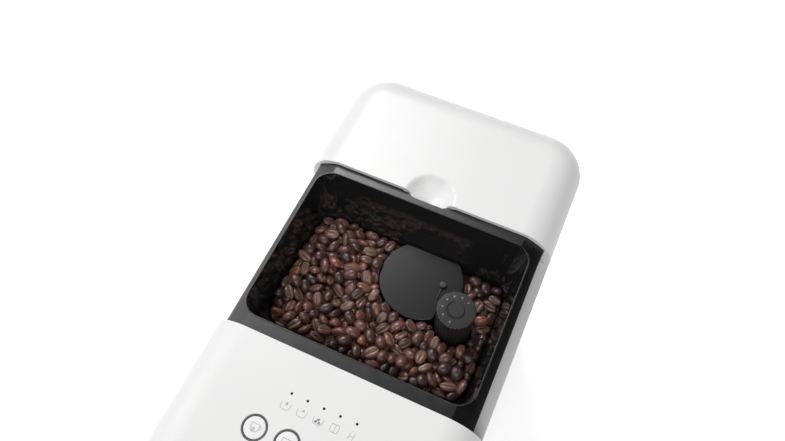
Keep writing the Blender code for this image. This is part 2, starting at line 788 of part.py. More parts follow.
def make_rear_cover():
    """Lid of the water tank: a shell with a finger scoop and a tongue at its front edge."""
    loops = []
    heights = [(0.0, BODY_HEIGHT - COVER_SKIRT)]
    for inset, height in arc((0, 0), COVER_SHOULDER, 0, 90):
        heights.append((COVER_SHOULDER - inset, BODY_HEIGHT - COVER_SHOULDER + height))
    for inset, height in heights:
        half = HALF_WIDTH - inset
        back = REAR - inset
        radius = REAR_CORNER - inset
        outline = [(half, REAR_SEAM)]
        outline += arc((half - radius, back - radius), radius, 0, 90)
        outline += arc((radius - half, back - radius), radius, 90, 180)
        outline += [(-half, REAR_SEAM)]
        loops.append([(x, y, height) for x, y in outline])
    cover = sheet("rear_cover", loops)
    shape = bmesh.new()
    shape.from_mesh(cover.data)
    shape.verts.ensure_lookup_table()
    shape.faces.new(shape.verts[-len(loops[-1]):])
    shape.to_mesh(cover.data)
    shape.free()
    thicken(cover, COVER_WALL)
    scoop_y = REAR_SEAM + SCOOP_SETBACK
    half_block = SCOOP_RADIUS + SCOOP_BLOCK_SIDE
    bowl_floor = BODY_HEIGHT - SCOOP_DEPTH
    join(cover, block("add_scoop_block",
                      (-half_block, REAR_SEAM, bowl_floor - SCOOP_FLOOR),
                      (half_block, scoop_y + SCOOP_BLOCK_REACH, COVER_INSIDE + COVER_WALL / 2)))
    tongue_top = BODY_HEIGHT - TONGUE_TOP_DROP
    tongue = round_rectangle((-TONGUE_HALF_WIDTH, REAR_SEAM - TONGUE_REACH),
                             (TONGUE_HALF_WIDTH, REAR_SEAM + TONGUE_ROOT),
                             (TONGUE_CORNER, TONGUE_CORNER, EDGE_ROUND, EDGE_ROUND))
    join(cover, plate("add_tongue", tongue, tongue_top - TONGUE_THICK, tongue_top))
    ball = (SCOOP_RADIUS ** 2 + SCOOP_DEPTH ** 2) / (2 * SCOOP_DEPTH)
    shape = bmesh.new()
    bmesh.ops.create_uvsphere(shape, u_segments=ROUND_SIDES, v_segments=ROUND_SIDES, radius=ball)
    bowl = from_bmesh("cut_scoop", shape)
    bowl.location = (0, scoop_y, bowl_floor + ball)
    cut(cover, bowl)
    dress(cover, finish("white_gloss_lid", (0.86, 0.86, 0.85), 0.28), smooth=True)
    return set_origin(cover, (0, REAR_SEAM, BODY_HEIGHT - COVER_SKIRT))


def side_outline():
    """Side of the machine as (y, z): column, ledge, head with its big curve, cup bay."""
    inner_curve = FRONT_CURVE - COVER_SKIRT - SEAT_GAP
    points = [(SIDE_REAR, BASE_TOP + SEAT_GAP), (SIDE_REAR, LEDGE_TOP)]
    points += arc((CURVE_Y, CURVE_Z), inner_curve, 90, 180, 2 * ARC_STEPS)
    points += [(CURVE_Y - inner_curve, HEAD_BOTTOM)]
    points += arc((SPLASH_FACE - HEAD_CORNER, HEAD_BOTTOM - HEAD_CORNER), HEAD_CORNER, 90, 0)
    points += [(SPLASH_FACE, BASE_TOP + SEAT_GAP)]
    return points


def make_side_panel(name, side, holes, material):
    """One white side, with the ledge that the hopper frame stands on."""
    outside = side * HALF_WIDTH
    inside = side * (HALF_WIDTH - PANEL_WALL)
    low = min(outside, inside)
    high = max(outside, inside)
    panel = plate(name, side_outline(), low, high, "X", holes)
    ledge = sorted((side * (HALF_WIDTH - PANEL_WALL / 2), side * (HALF_WIDTH - LEDGE_WIDTH - LEDGE_TUCK)))
    join(panel, block("add_ledge_" + name,
                      (ledge[0], FRONT_SEAM - LEDGE_TUCK, LEDGE_TOP - LEDGE_THICK),
                      (ledge[1], REAR_SEAM, LEDGE_TOP)))
    dress(panel, material)
    return set_origin(panel, (outside, SIDE_REAR, BASE_TOP))


def door_outline(gap):
    """Outline of the service door or of its opening, as (y, z)."""
    corner = DOOR_CORNER - gap
    return round_rectangle((DOOR_FRONT + gap, DOOR_BOTTOM + gap), (DOOR_REAR - gap, DOOR_TOP - gap),
                           (corner, corner, corner, corner))


def make_side_panels():
    white = finish("white_satin_panel", (0.84, 0.84, 0.83), 0.35)
    make_side_panel("side_panel_left", -1, (), white)
    make_side_panel("side_panel_right", 1, (door_outline(0),), white.copy())


def make_service_door():
    """Lift-off door over the brew group, with a rim inside and a thumb grip outside."""
    door = plate("service_door", door_outline(DOOR_GAP), HALF_WIDTH - PANEL_WALL, HALF_WIDTH, "X")
    rim_low = HALF_WIDTH - PANEL_WALL - DOOR_RIM
    rim = plate("add_door_rim", door_outline(DOOR_RIM_INSET), rim_low, HALF_WIDTH - PANEL_WALL / 2, "X",
                (door_outline(DOOR_RIM_INSET + DOOR_RIM_WALL),))
    join(door, rim)
    grip = drum("cut_grip", (0, 0), GRIP_RADIUS, 0, GRIP_DEPTH + CUT_OVERRUN)
    grip.rotation_euler = (0, math.radians(90), 0)
    grip.location = (HALF_WIDTH - GRIP_DEPTH, DOOR_REAR - 2 * GRIP_RADIUS, DOOR_TOP - 2 * GRIP_RADIUS)
    cut(door, grip)
    dress(door, finish("white_satin_door", (0.84, 0.84, 0.83), 0.35))
    return set_origin(door, (HALF_WIDTH, (DOOR_FRONT + DOOR_REAR) / 2, (DOOR_BOTTOM + DOOR_TOP) / 2))


def make_back_panel():
    """Wraps round both rear corners; slots for air and a window for the power inlet."""
    outline = [(HALF_WIDTH, SIDE_REAR + SEAT_GAP)]
    outline += arc((HALF_WIDTH - REAR_CORNER, REAR - REAR_CORNER), REAR_CORNER, 0, 90)
    outline += arc((REAR_CORNER - HALF_WIDTH, REAR - REAR_CORNER), REAR_CORNER, 90, 180)
    outline += [(-HALF_WIDTH, SIDE_REAR + SEAT_GAP)]
    rows = [[(x, y, z) for x, y in outline] for z in (BASE_TOP + SEAT_GAP, LEDGE_TOP)]
    panel = sheet("back_panel", rows)
    thicken(panel, PANEL_WALL)
    for index in range(VENT_COUNT):
        z = VENT_LOWEST + index * VENT_PITCH
        cut(panel, block("cut_vent_%d" % index,
                         (-VENT_LENGTH / 2, REAR - PANEL_WALL - CUT_OVERRUN, z),
                         (VENT_LENGTH / 2, REAR + CUT_OVERRUN, z + VENT_WIDTH)))
    half_width = INLET_WIDTH / 2 + SEAT_GAP
    half_height = INLET_HEIGHT / 2 + SEAT_GAP
    cut(panel, block("cut_inlet_window",
                     (INLET_X - half_width, REAR - PANEL_WALL - CUT_OVERRUN, INLET_Z - half_height),
                     (INLET_X + half_width, REAR + CUT_OVERRUN, INLET_Z + half_height)))
    dress(panel, finish("white_back_panel", (0.82, 0.82, 0.81), 0.4), smooth=True)
    return set_origin(panel, (0, REAR, BASE_TOP))


def make_power_inlet():
    """Recessed three-pin inlet; its flange seats inside the back panel's window."""
    low_y = REAR - PANEL_WALL - SEAT_GAP - INLET_FLANGE_THICK
    half_width = INLET_WIDTH / 2
    half_height = INLET_HEIGHT / 2
    inlet = block("power_inlet", (INLET_X - half_width, REAR - INLET_DEPTH, INLET_Z - half_height),
                  (INLET_X + half_width, REAR, INLET_Z + half_height))
    join(inlet, block("add_inlet_flange",
                      (INLET_X - half_width - INLET_FLANGE, low_y, INLET_Z - half_height - INLET_FLANGE),
                      (INLET_X + half_width + INLET_FLANGE, low_y + INLET_FLANGE_THICK,
                       INLET_Z + half_height + INLET_FLANGE)))
    cut(inlet, block("cut_inlet_recess",
                     (INLET_X - half_width + INLET_WALL, REAR - INLET_DEPTH + INLET_WALL,
                      INLET_Z - half_height + INLET_WALL),
                     (INLET_X + half_width - INLET_WALL, REAR + CUT_OVERRUN,
                      INLET_Z + half_height - INLET_WALL)))
    for index, side in enumerate((-1, 0, 1)):
        x = INLET_X + side * INLET_PIN_PITCH
        join(inlet, block("add_inlet_pin_%d" % index,
                          (x - INLET_PIN_WIDTH / 2, REAR - INLET_DEPTH + INLET_WALL / 2,
                           INLET_Z - INLET_PIN_HEIGHT / 2),
                          (x + INLET_PIN_WIDTH / 2, REAR - INLET_WALL, INLET_Z + INLET_PIN_HEIGHT / 2)))
    dress(inlet, finish("black_inlet_plastic", (0.02, 0.02, 0.02), 0.45))
    return set_origin(inlet, (INLET_X, REAR, INLET_Z))


def base_outline():
    """Plan of the base: narrower under the drip tray, full width under the body."""
    narrow = HALF_WIDTH - BASE_FRONT_NARROWING
    front = FRONT + BASE_FRONT_SETBACK
    right = arc((narrow - BASE_FRONT_CORNER, front + BASE_FRONT_CORNER), BASE_FRONT_CORNER, 270, 360)
    right += [(narrow, SPLASH_FACE), (HALF_WIDTH, SPLASH_FACE)]
    right += arc((HALF_WIDTH - REAR_CORNER, REAR - REAR_CORNER), REAR_CORNER, 0, 90)
    return right + [(-x, y) for x, y in reversed(right)]


def make_base():
    base = plate("base_plate", base_outline(), FOOT_HEIGHT, BASE_TOP)
    dress(base, finish("black_base_plastic", (0.025, 0.025, 0.027), 0.5))
    set_origin(base, (0, 0, FOOT_HEIGHT))
    rubber = finish("black_rubber", (0.02, 0.02, 0.02), 0.8)
    x = HALF_WIDTH - FOOT_INSET_X
    rows = (("front", FRONT + FOOT_INSET_FRONT), ("rear", REAR - FOOT_INSET_REAR))
    for row, y in rows:
        for side, place in (("left", -x), ("right", x)):
            top = FOOT_HEIGHT - SEAT_GAP
            foot = drum("foot_%s_%s" % (row, side), (place, y), FOOT_RADIUS, 0, top,
                        sides=SMALL_SIDES, top_radius=FOOT_TOP_RADIUS)
            dress(foot, rubber.copy(), smooth=True)


def make_fascia():
    """Black front under the white cover, with the window that the spout slides in."""
    top = CURVE_Z - SEAT_GAP
    section = cover_section(HALF_WIDTH, COVER_SHOULDER, COVER_SKIRT)
    path = [(FASCIA_FACE, top, -1, 0), (FASCIA_FACE, HEAD_BOTTOM, -1, 0)]
    fascia = sheet("front_fascia", sweep_section(section, path))
    thicken(fascia, COVER_WALL)
    half = SPOUT_HALF_WIDTH + SPOUT_WINDOW_GAP
    window = round_rectangle((-half, HEAD_BOTTOM - CUT_OVERRUN), (half, spout_top()),
                             (EDGE_ROUND, EDGE_ROUND, EDGE_ROUND, EDGE_ROUND), 2)
    cut(fascia, plate("cut_spout_window", window, FASCIA_FACE - CUT_OVERRUN,
                      FASCIA_FACE + COVER_WALL + CUT_OVERRUN, "Y"))
    dress(fascia, finish("black_gloss_fascia", (0.015, 0.015, 0.016), 0.12), smooth=True)
    return set_origin(fascia, (0, FASCIA_FACE, HEAD_BOTTOM))


def make_head_underside():
    """Closes the head from below and carries the spout guide."""
    half = SIDE_INSIDE
    corner = COVER_SHOULDER - COVER_WALL
    front = FASCIA_FACE + COVER_WALL + SEAT_GAP
    slot = SPOUT_HALF_WIDTH + SPOUT_WINDOW_GAP
    slot_rear = spout_back() + SPOUT_WINDOW_GAP
    narrow = SPOUT_SLIDER_HALF + RUN_GAP
    slider_rear = spout_back() + SPOUT_NECK_DEPTH + SPOUT_SLIDER_THICK + RUN_GAP
    right = [(narrow, slider_rear), (narrow, slot_rear), (slot, slot_rear), (slot, front)]
    right += arc((half - corner, front + corner), corner, 270, 360)
    right += [(half, SPLASH_FACE - SEAT_GAP)]
    outline = right + [(-x, y) for x, y in reversed(right)]
    underside = plate("head_underside", outline, HEAD_BOTTOM, HEAD_BOTTOM + PANEL_WALL)
    dress(underside, finish("black_satin_underside", (0.02, 0.02, 0.021), 0.4))
    return set_origin(underside, (0, SPLASH_FACE, HEAD_BOTTOM))


def make_splash_panel():
    """Rear wall of the cup bay, open at its foot for the tray and the grounds container."""
    half = SIDE_INSIDE
    opening = BIN_FRONT_HALF_WIDTH + BIN_OPENING_GAP
    opening_top = BIN_FRONT_TOP + BIN_OPENING_GAP
    low = BASE_TOP + SEAT_GAP
    top = CURVE_Z
    outline = [(-half, low), (-opening, low), (-opening, opening_top), (opening, opening_top),
               (opening, low), (half, low), (half, top), (-half, top)]
    panel = plate("splash_panel", outline, SPLASH_FACE, SPLASH_FACE + PANEL_WALL, "Y")
    dress(panel, finish("black_satin_splash", (0.02, 0.02, 0.021), 0.35))
    return set_origin(panel, (0, SPLASH_FACE, BASE_TOP))


# Hopper and beans

def bowl_outline(depth, offset, z):
    """Loop of the hopper's inner wall at a depth below the lip, moved outward by an offset."""
    share = min(depth / BOWL_SLOPE_DEPTH, 1.0)
    half = LIP_WIDTH / 2 - LIP_THICK / 2 - BOWL_SIDE_SLOPE * share + offset
    front = LIP_Y - LIP_LENGTH / 2 + LIP_THICK / 2 + BOWL_FRONT_SLOPE * share - offset
    back = LIP_Y + LIP_LENGTH / 2 - LIP_THICK / 2 - BOWL_REAR_SLOPE * share + offset
    radius = LIP_CORNER - LIP_THICK / 2 + offset
    outline = round_rectangle((-half, front), (half, back), (radius, radius, radius, radius), 5)
    return [(x, y, z) for x, y in outline]


def bowl_inside(name, floor, offset=0.0):
    """The space inside the bowl as a solid, from its floor to above its lip."""
    loops = [bowl_outline(BOWL_DEPTH, offset, floor),
             bowl_outline(BOWL_SLOPE_DEPTH, offset, LIP_TOP - BOWL_SLOPE_DEPTH),
             bowl_outline(0, offset, LIP_TOP),
             bowl_outline(0, offset, LIP_TOP + CUT_OVERRUN)]
    return loft(name, loops)


def make_hopper():
    """Black frame and bowl in one moulding, with a throat to the grinder and a post for the knob."""
    half = HALF_WIDTH - LEDGE_WIDTH
    crown = BODY_HEIGHT - FRAME_DROP
    section = cover_section(half, FRAME_SHOULDER, crown - LEDGE_TOP - SEAT_GAP)
    path = [(REAR_SEAM + FRAME_TUCK, crown, 0, 1), (FRONT_SEAM - FRAME_TUCK, crown, 0, 1)]
    hopper = sheet("bean_hopper", sweep_section(section, path))
    thicken(hopper, FRAME_WALL)
    lip = [bowl_outline(BOWL_DEPTH, BOWL_WALL, BOWL_BOTTOM),
           bowl_outline(BOWL_SLOPE_DEPTH, BOWL_WALL, LIP_TOP - BOWL_SLOPE_DEPTH),
           bowl_outline(0, LIP_THICK, LIP_TOP - LIP_ROUND),
           bowl_outline(0, LIP_THICK - LIP_ROUND, LIP_TOP)]
    join(hopper, loft("add_bowl", lip))
    cut(hopper, bowl_inside("cut_bowl", BOWL_FLOOR))
    knob = (KNOB_X, KNOB_Y)
    grinder = (GRINDER_X, GRINDER_Y)
    post_top = KNOB_TOP - POST_DROP
    throat_bottom = BOWL_BOTTOM - THROAT_LENGTH
    join(hopper, drum("add_knob_post", knob, POST_RADIUS, BOWL_FLOOR - BOWL_WALL / 2, post_top,
                      sides=SMALL_SIDES))
    join(hopper, drum("add_throat", grinder, THROAT_RADIUS + THROAT_WALL, throat_bottom,
                      BOWL_FLOOR - BOWL_WALL / 2))
    cut(hopper, drum("cut_throat", grinder, THROAT_RADIUS, throat_bottom - CUT_OVERRUN,
                     BOWL_FLOOR + CUT_OVERRUN))
    cut(hopper, drum("cut_post", knob, POST_RADIUS - POST_WALL, BOWL_BOTTOM - CUT_OVERRUN,
                     post_top + CUT_OVERRUN, sides=SMALL_SIDES))
    narrow = TONGUE_HALF_WIDTH + NOTCH_SIDE_GAP
    wide = SCOOP_RADIUS + SCOOP_BLOCK_SIDE + NOTCH_SIDE_GAP
    low = crown - COVER_SKIRT / 2
    high = BODY_HEIGHT
    notch = round_rectangle((-narrow, REAR_SEAM - TONGUE_REACH - NOTCH_GAP), (narrow, REAR + CUT_OVERRUN),
                            (TONGUE_CORNER, TONGUE_CORNER, EDGE_ROUND, EDGE_ROUND))
    cut(hopper, plate("cut_notch", notch, low, high))
    cut(hopper, block("cut_notch_rear", (-wide, REAR_SEAM - NOTCH_GAP, low), (wide, REAR, high)))
    dress(hopper, finish("black_gloss_hopper", (0.02, 0.02, 0.021), 0.12), smooth=True)
    return set_origin(hopper, (0, LIP_Y, LIP_TOP))


def bean_heights(columns, rows, low, step):
    """Height of the heaped beans above their level at each grid point, from seeded bean places."""
    draw = random.Random(BEAN_SEED)
    pitch = BEAN_LENGTH * BEAN_PITCH_SHARE
    beans = []
    for column in range(int(columns * step[0] / pitch) + 1):
        for row in range(int(rows * step[1] / pitch) + 1):
            x = low[0] + (column + draw.uniform(-1, 1) / 2) * pitch
            y = low[1] + (row + draw.uniform(-1, 1) / 2) * pitch
            beans.append((x, y, draw.uniform(0, math.pi), draw.uniform(-1, 1)))
    heights = {}
    long_half = BEAN_LENGTH / 2
    short_half = long_half * BEAN_WIDTH_SHARE
    for column in range(columns + 1):
        for row in range(rows + 1):
            x = low[0] + column * step[0]
            y = low[1] + row * step[1]
            best = 0.0
            for bean_x, bean_y, turn, lift in beans:
                along = (x - bean_x) * math.cos(turn) + (y - bean_y) * math.sin(turn)
                across = (y - bean_y) * math.cos(turn) - (x - bean_x) * math.sin(turn)
                spread = (along / long_half) ** 2 + (across / short_half) ** 2
                if spread < 1:
                    best = max(best, BEAN_RISE * (math.sqrt(1 - spread) + lift / 2))
            heights[column, row] = best
    return heights


def make_beans():
    """The heap of roasted beans: a slab with a bumpy top, trimmed to the bowl and to what stands in it."""
    half = LIP_WIDTH / 2
    low = (-half, LIP_Y - LIP_LENGTH / 2)
    size = (LIP_WIDTH, LIP_LENGTH)
    columns = max(1, round(size[0] / BEAN_GRID))
    rows = max(1, round(size[1] / BEAN_GRID))
    step = (size[0] / columns, size[1] / rows)
    level = LIP_TOP - BEAN_LEVEL_DROP
    heights = bean_heights(columns, rows, low, step)
    shape = bmesh.new()
    bmesh.ops.create_grid(shape, x_segments=columns, y_segments=rows, size=half,
                          matrix=Matrix.Diagonal((1, LIP_LENGTH / LIP_WIDTH, 1, 1)))
    for vertex in shape.verts:
        column = round((vertex.co.x + half) / step[0])
        row = round((vertex.co.y + LIP_LENGTH / 2) / step[1])
        vertex.co.z = level - BOWL_FLOOR + heights[column, row]
    rim = [edge for edge in shape.edges if edge.is_boundary]
    skirt = bmesh.ops.extrude_edge_only(shape, edges=rim)["geom"]
    for item in skirt:
        if isinstance(item, bmesh.types.BMVert):
            item.co.z = -BOWL_WALL
    foot = [item for item in skirt if isinstance(item, bmesh.types.BMEdge) and item.is_boundary]
    bmesh.ops.contextual_create(shape, geom=foot)
    bmesh.ops.recalc_face_normals(shape, faces=shape.faces)
    beans = from_bmesh("coffee_beans", shape)
    beans.location = (0, LIP_Y, BOWL_FLOOR)
    inside = bowl_inside("trim_beans", BOWL_FLOOR + SEAT_GAP, -BEAN_CLEARANCE)
    combine(beans, inside, "INTERSECT")
    low_z = BOWL_FLOOR - CUT_OVERRUN
    high_z = LIP_TOP
    cut(beans, drum("cut_beans_grinder", (GRINDER_X, GRINDER_Y), GRINDER_COVER_RADIUS + BEAN_CLEARANCE,
                    low_z, high_z))
    cut(beans, drum("cut_beans_knob", (KNOB_X, KNOB_Y), KNOB_RADIUS + RUN_GAP, low_z, high_z))
    for change in beans.modifiers:
        change.solver = "MANIFOLD"
    dress(beans, finish("roasted_beans", (0.10, 0.035, 0.018), 0.4))
    return set_origin(beans, (0, LIP_Y, BOWL_FLOOR))


def bowl_back(z):
    """Y of the bowl's rear wall at a height."""
    share = min((LIP_TOP - z) / BOWL_SLOPE_DEPTH, 1.0)
    return LIP_Y + LIP_LENGTH / 2 - LIP_THICK / 2 - BOWL_REAR_SLOPE * share


def make_grinder_cover():
    """Disc over the grinder inlet on three legs, cut off at the rear wall and notched round the knob."""
    top = BODY_HEIGHT - GRINDER_COVER_DROP - LIP_DROP
    bottom = top - GRINDER_COVER_THICK
    centre = (GRINDER_X, GRINDER_Y)
    cover = drum("grinder_cover", centre, GRINDER_COVER_RADIUS, bottom, top)
    bevel(cover, COVER_ROUND, 1)
    back = bowl_back(bottom) - GRINDER_COVER_WALL_GAP
    reach = GRINDER_COVER_RADIUS + CUT_OVERRUN
    cut(cover, block("cut_cover_back", (GRINDER_X - reach, back, bottom - CUT_OVERRUN),
                     (GRINDER_X + reach, back + reach, top + CUT_OVERRUN)))
    cut(cover, drum("cut_cover_knob", (KNOB_X, KNOB_Y), KNOB_RADIUS + KNOB_NOTCH_GAP,
                    bottom - CUT_OVERRUN, top + CUT_OVERRUN))
    leg_reach = GRINDER_COVER_RADIUS - COVER_LEG_INSET
    for index, angle in enumerate(COVER_LEG_ANGLES):
        place = arc(centre, leg_reach, angle, angle, 1)[0]
        join(cover, drum("add_cover_leg_%d" % index, place, COVER_LEG_RADIUS, BOWL_FLOOR + SEAT_GAP,
                         bottom + GRINDER_COVER_THICK / 2, sides=12))
    pin = (GRINDER_X + PIN_X, GRINDER_Y + PIN_Y)
    rib_top = pin[1] - PIN_RADIUS - RUN_GAP
    join(cover, block("add_cover_rib", (pin[0] - RIB_WIDTH / 2, rib_top - RIB_LENGTH, top - RIB_HEIGHT),
                      (pin[0] + RIB_WIDTH / 2, rib_top, top + RIB_HEIGHT)))
    hole = drum("cut_pin_hole", pin, PIN_STEM_RADIUS + SEAT_GAP, top - PIN_STEM - SEAT_GAP,
                top + CUT_OVERRUN, sides=SMALL_SIDES)
    cut(cover, hole)
    dress(cover, finish("dark_grinder_cover", (0.06, 0.06, 0.062), 0.3), smooth=True)
    set_origin(cover, (*centre, bottom))
    make_index_pin(pin, top)


def make_index_pin(place, seat):
    """Small headed pin in the grinder cover."""
    profile = [(0, PIN_HEAD), (PIN_RADIUS - PIN_HEAD / 2, PIN_HEAD), (PIN_RADIUS, PIN_HEAD / 2),
               (PIN_RADIUS, 0), (PIN_STEM_RADIUS, 0), (PIN_STEM_RADIUS, -PIN_STEM), (0, -PIN_STEM)]
    pin = turned("index_pin", (*place, seat + SEAT_GAP), profile, SMALL_SIDES)
    dress(pin, finish("grey_pin", (0.25, 0.25, 0.25), 0.3), smooth=True)


def flute_outline(radius, depth, count):
    """A circle with rounded flutes."""
    points = []
    steps = 3
    for index in range(count * steps):
        angle = 2 * math.pi * index / (count * steps)
        dip = depth * (1 - math.cos(angle * count)) / 2
        points.append(((radius - dip) * math.cos(angle), (radius - dip) * math.sin(angle)))
    return points


def make_grind_knob():
    """Tall knob: smooth head, fluted skirt, hollow round its post, with a socket for the shaft."""
    bottom = KNOB_TOP - KNOB_HEIGHT
    head = KNOB_TOP - KNOB_HEAD
    skirt = flute_outline(KNOB_RADIUS - KNOB_ROUND / 2, KNOB_FLUTE_DEPTH, KNOB_FLUTES)
    knob = plate("grind_knob", skirt, bottom, head + KNOB_HEAD / 4)
    knob.location = (KNOB_X, KNOB_Y, knob.location.z)
    centre = (KNOB_X, KNOB_Y)
    top = bevel(drum("add_knob_head", centre, KNOB_RADIUS, head, KNOB_TOP), KNOB_ROUND)
    join(knob, top)
    hollow_top = head - KNOB_WALL
    hollow = KNOB_RADIUS - KNOB_FLUTE_DEPTH - KNOB_WALL
    cut(knob, drum("cut_knob_hollow", centre, hollow, bottom - CUT_OVERRUN, hollow_top, sides=SMALL_SIDES))
    join(knob, drum("add_knob_socket", centre, KNOB_SOCKET_RADIUS, hollow_top - KNOB_SOCKET_DEPTH,
                    hollow_top + KNOB_WALL / 2, sides=SMALL_SIDES))
    cut(knob, drum("cut_knob_socket", centre, KNOB_SHAFT_RADIUS + SEAT_GAP,
                   hollow_top - KNOB_SOCKET_DEPTH - CUT_OVERRUN, hollow_top, sides=SMALL_SIDES))
    dress(knob, finish("dark_grey_knob", (0.075, 0.075, 0.078), 0.35), smooth=True)
    return set_origin(knob, (*centre, bottom))


# Gears and grinder

def gear_outline(teeth, start_share=0.0):
    """Outline of a spur gear with slim straight-sided teeth."""
    pitch_radius = GEAR_MODULE * teeth / 2
    tip = pitch_radius + GEAR_MODULE * TOOTH_TIP_SHARE
    root = pitch_radius - GEAR_MODULE * TOOTH_ROOT_SHARE
    step = 2 * math.pi / teeth
    points = []
    for index in range(teeth):
        middle = (index + start_share) * step
        for radius, share in ((root, -TOOTH_ROOT_WIDTH_SHARE), (tip, -TOOTH_TIP_WIDTH_SHARE),
                              (tip, TOOTH_TIP_WIDTH_SHARE), (root, TOOTH_ROOT_WIDTH_SHARE)):
            angle = middle + share * step / 2
            points.append((radius * math.cos(angle), radius * math.sin(angle)))
    return points


def gear_facing():
    """Angle, in the XY plane, from the grinder's axis to the knob's axis."""
    return math.atan2(KNOB_Y - GRINDER_Y, KNOB_X - GRINDER_X)


def make_knob_pinion():
    """Pinion under the hopper floor with a shaft that rises through the post into the knob."""
    pinion = plate("knob_pinion", gear_outline(PINION_TEETH, 0.5), GEAR_BOTTOM, GEAR_TOP)
    pinion.location = (KNOB_X, KNOB_Y, pinion.location.z)
    pinion.rotation_euler = (0, 0, gear_facing() + math.pi)
    shaft_top = KNOB_TOP - KNOB_HEAD - KNOB_WALL - SEAT_GAP
    join(pinion, drum("add_pinion_shaft", (KNOB_X, KNOB_Y), KNOB_SHAFT_RADIUS, GEAR_BOTTOM + GEAR_HEIGHT / 2,
                      shaft_top, sides=SMALL_SIDES))
    dress(pinion, finish("white_gear_plastic", (0.75, 0.75, 0.72), 0.4))
    return pinion


def make_adjust_ring():
    """Toothed ring with a sleeve that holds the outer burr; the knob's pinion turns it."""
    sleeve_bottom = GEAR_BOTTOM - BURR_SLEEVE_LENGTH
    bore = circle((0, 0), BURR_SLEEVE_RADIUS - BOWL_WALL, ROUND_SIDES)
    ring = plate("adjust_ring", gear_outline(RING_TEETH), GEAR_BOTTOM, GEAR_TOP, holes=(bore,))
    sleeve = plate("add_ring_sleeve", circle((0, 0), BURR_SLEEVE_RADIUS, ROUND_SIDES), sleeve_bottom,
                   GEAR_BOTTOM + GEAR_HEIGHT / 2, holes=(bore,))
    for piece in (ring, sleeve):
        piece.location = (GRINDER_X, GRINDER_Y, piece.location.z)
        piece.rotation_euler = (0, 0, gear_facing())
    join(ring, sleeve)
    dress(ring, finish("white_ring_plastic", (0.75, 0.75, 0.72), 0.4))
    return ring


def make_burrs():
    """Steel ring burr, cone burr and the shaft that carries the cone."""
    steel = finish("burr_steel", (0.45, 0.45, 0.46), 0.3, metallic=1.0)
    outer = BURR_SLEEVE_RADIUS - BOWL_WALL - SEAT_GAP
    top = GEAR_TOP - EDGE_ROUND
    bottom = top - RING_BURR_HEIGHT
    profile = [(outer, 0), (outer, -RING_BURR_HEIGHT),
               (outer - RING_BURR_WALL_BOTTOM, -RING_BURR_HEIGHT), (outer - RING_BURR_WALL_TOP, 0)]
    ring = turned("ring_burr", (GRINDER_X, GRINDER_Y, top), profile)
    dress(ring, steel, smooth=True)
    loops = []
    levels = 6
    for level in range(levels + 1):
        share = level / levels
        radius = CONE_BOTTOM_RADIUS + (CONE_TOP_RADIUS - CONE_BOTTOM_RADIUS) * share
        loop = []
        for index in range(CONE_FLUTES * 2):
            reach = radius if index % 2 == 0 else radius * CONE_FLUTE_SHARE
            angle = math.pi * index / CONE_FLUTES + math.radians(CONE_TWIST) * share
            loop.append((reach * math.cos(angle), reach * math.sin(angle), CONE_HEIGHT * share))
        loops.append(loop)
    cone = loft("cone_burr", loops)
    cone.location = (GRINDER_X, GRINDER_Y, bottom)
    cut(cone, drum("cut_cone_bore", (GRINDER_X, GRINDER_Y), BURR_SHAFT_RADIUS + SEAT_GAP,
                   bottom - CUT_OVERRUN, bottom + CONE_HEIGHT + CUT_OVERRUN, sides=SMALL_SIDES))
    dress(cone, steel.copy())
    shaft_top = bottom + CONE_HEIGHT + SEAT_GAP
    profile = [(0, BURR_SHAFT_RADIUS), (BURR_SHAFT_HEAD, BURR_SHAFT_RADIUS), (BURR_SHAFT_HEAD, 0),
               (BURR_SHAFT_RADIUS, 0), (BURR_SHAFT_RADIUS, -BURR_SHAFT_LENGTH), (0, -BURR_SHAFT_LENGTH)]
    shaft = turned("burr_shaft", (GRINDER_X, GRINDER_Y, shaft_top), profile, SMALL_SIDES)
    dress(shaft, steel.copy(), smooth=True)


def make_grinder_housing():
    """Cup round the burrs, open at the top, with an outlet in its front."""
    centre = (GRINDER_X, GRINDER_Y)
    housing = drum("grinder_housing", centre, HOUSING_RADIUS, HOUSING_BOTTOM, HOUSING_TOP)
    cut(housing, drum("cut_housing", centre, HOUSING_RADIUS - HOUSING_WALL, HOUSING_BOTTOM + HOUSING_WALL,
                      HOUSING_TOP + CUT_OVERRUN))
    cut(housing, drum("cut_housing_shaft", centre, BURR_SHAFT_RADIUS + RUN_GAP, HOUSING_BOTTOM - CUT_OVERRUN,
                      HOUSING_TOP, sides=SMALL_SIDES))
    outlet = drum("cut_housing_outlet", (0, 0), CHUTE_RADIUS - CHUTE_WALL, 0, HOUSING_RADIUS,
                  sides=SMALL_SIDES)
    outlet.rotation_euler = (math.radians(90), 0, 0)
    outlet.location = (GRINDER_X, GRINDER_Y - HOUSING_WALL, HOUSING_BOTTOM + HOUSING_WALL + CHUTE_RADIUS)
    cut(housing, outlet)
    dress(housing, finish("dark_grinder_plastic", (0.05, 0.05, 0.05), 0.5), smooth=True)
    set_origin(housing, (*centre, HOUSING_BOTTOM))


def make_grinder_gearmotor():
    """Gearbox on the deck with the motor below it, one bought-in unit."""
    centre = (GRINDER_X, GRINDER_Y)
    gearmotor = drum("grinder_gearmotor", centre, GEARBOX_RADIUS, GEARBOX_BOTTOM, GEARBOX_TOP)
    join(gearmotor, drum("add_grinder_motor", centre, GRINDER_MOTOR_RADIUS,
                         GEARBOX_BOTTOM - GRINDER_MOTOR_LENGTH, GEARBOX_BOTTOM + GEARBOX_HEIGHT / 2))
    cut(gearmotor, drum("cut_gearbox_shaft", centre, BURR_SHAFT_RADIUS + RUN_GAP, shaft_end() - SEAT_GAP,
                        GEARBOX_TOP + CUT_OVERRUN, sides=SMALL_SIDES))
    dress(gearmotor, finish("motor_steel", (0.4, 0.4, 0.41), 0.35, metallic=1.0), smooth=True)


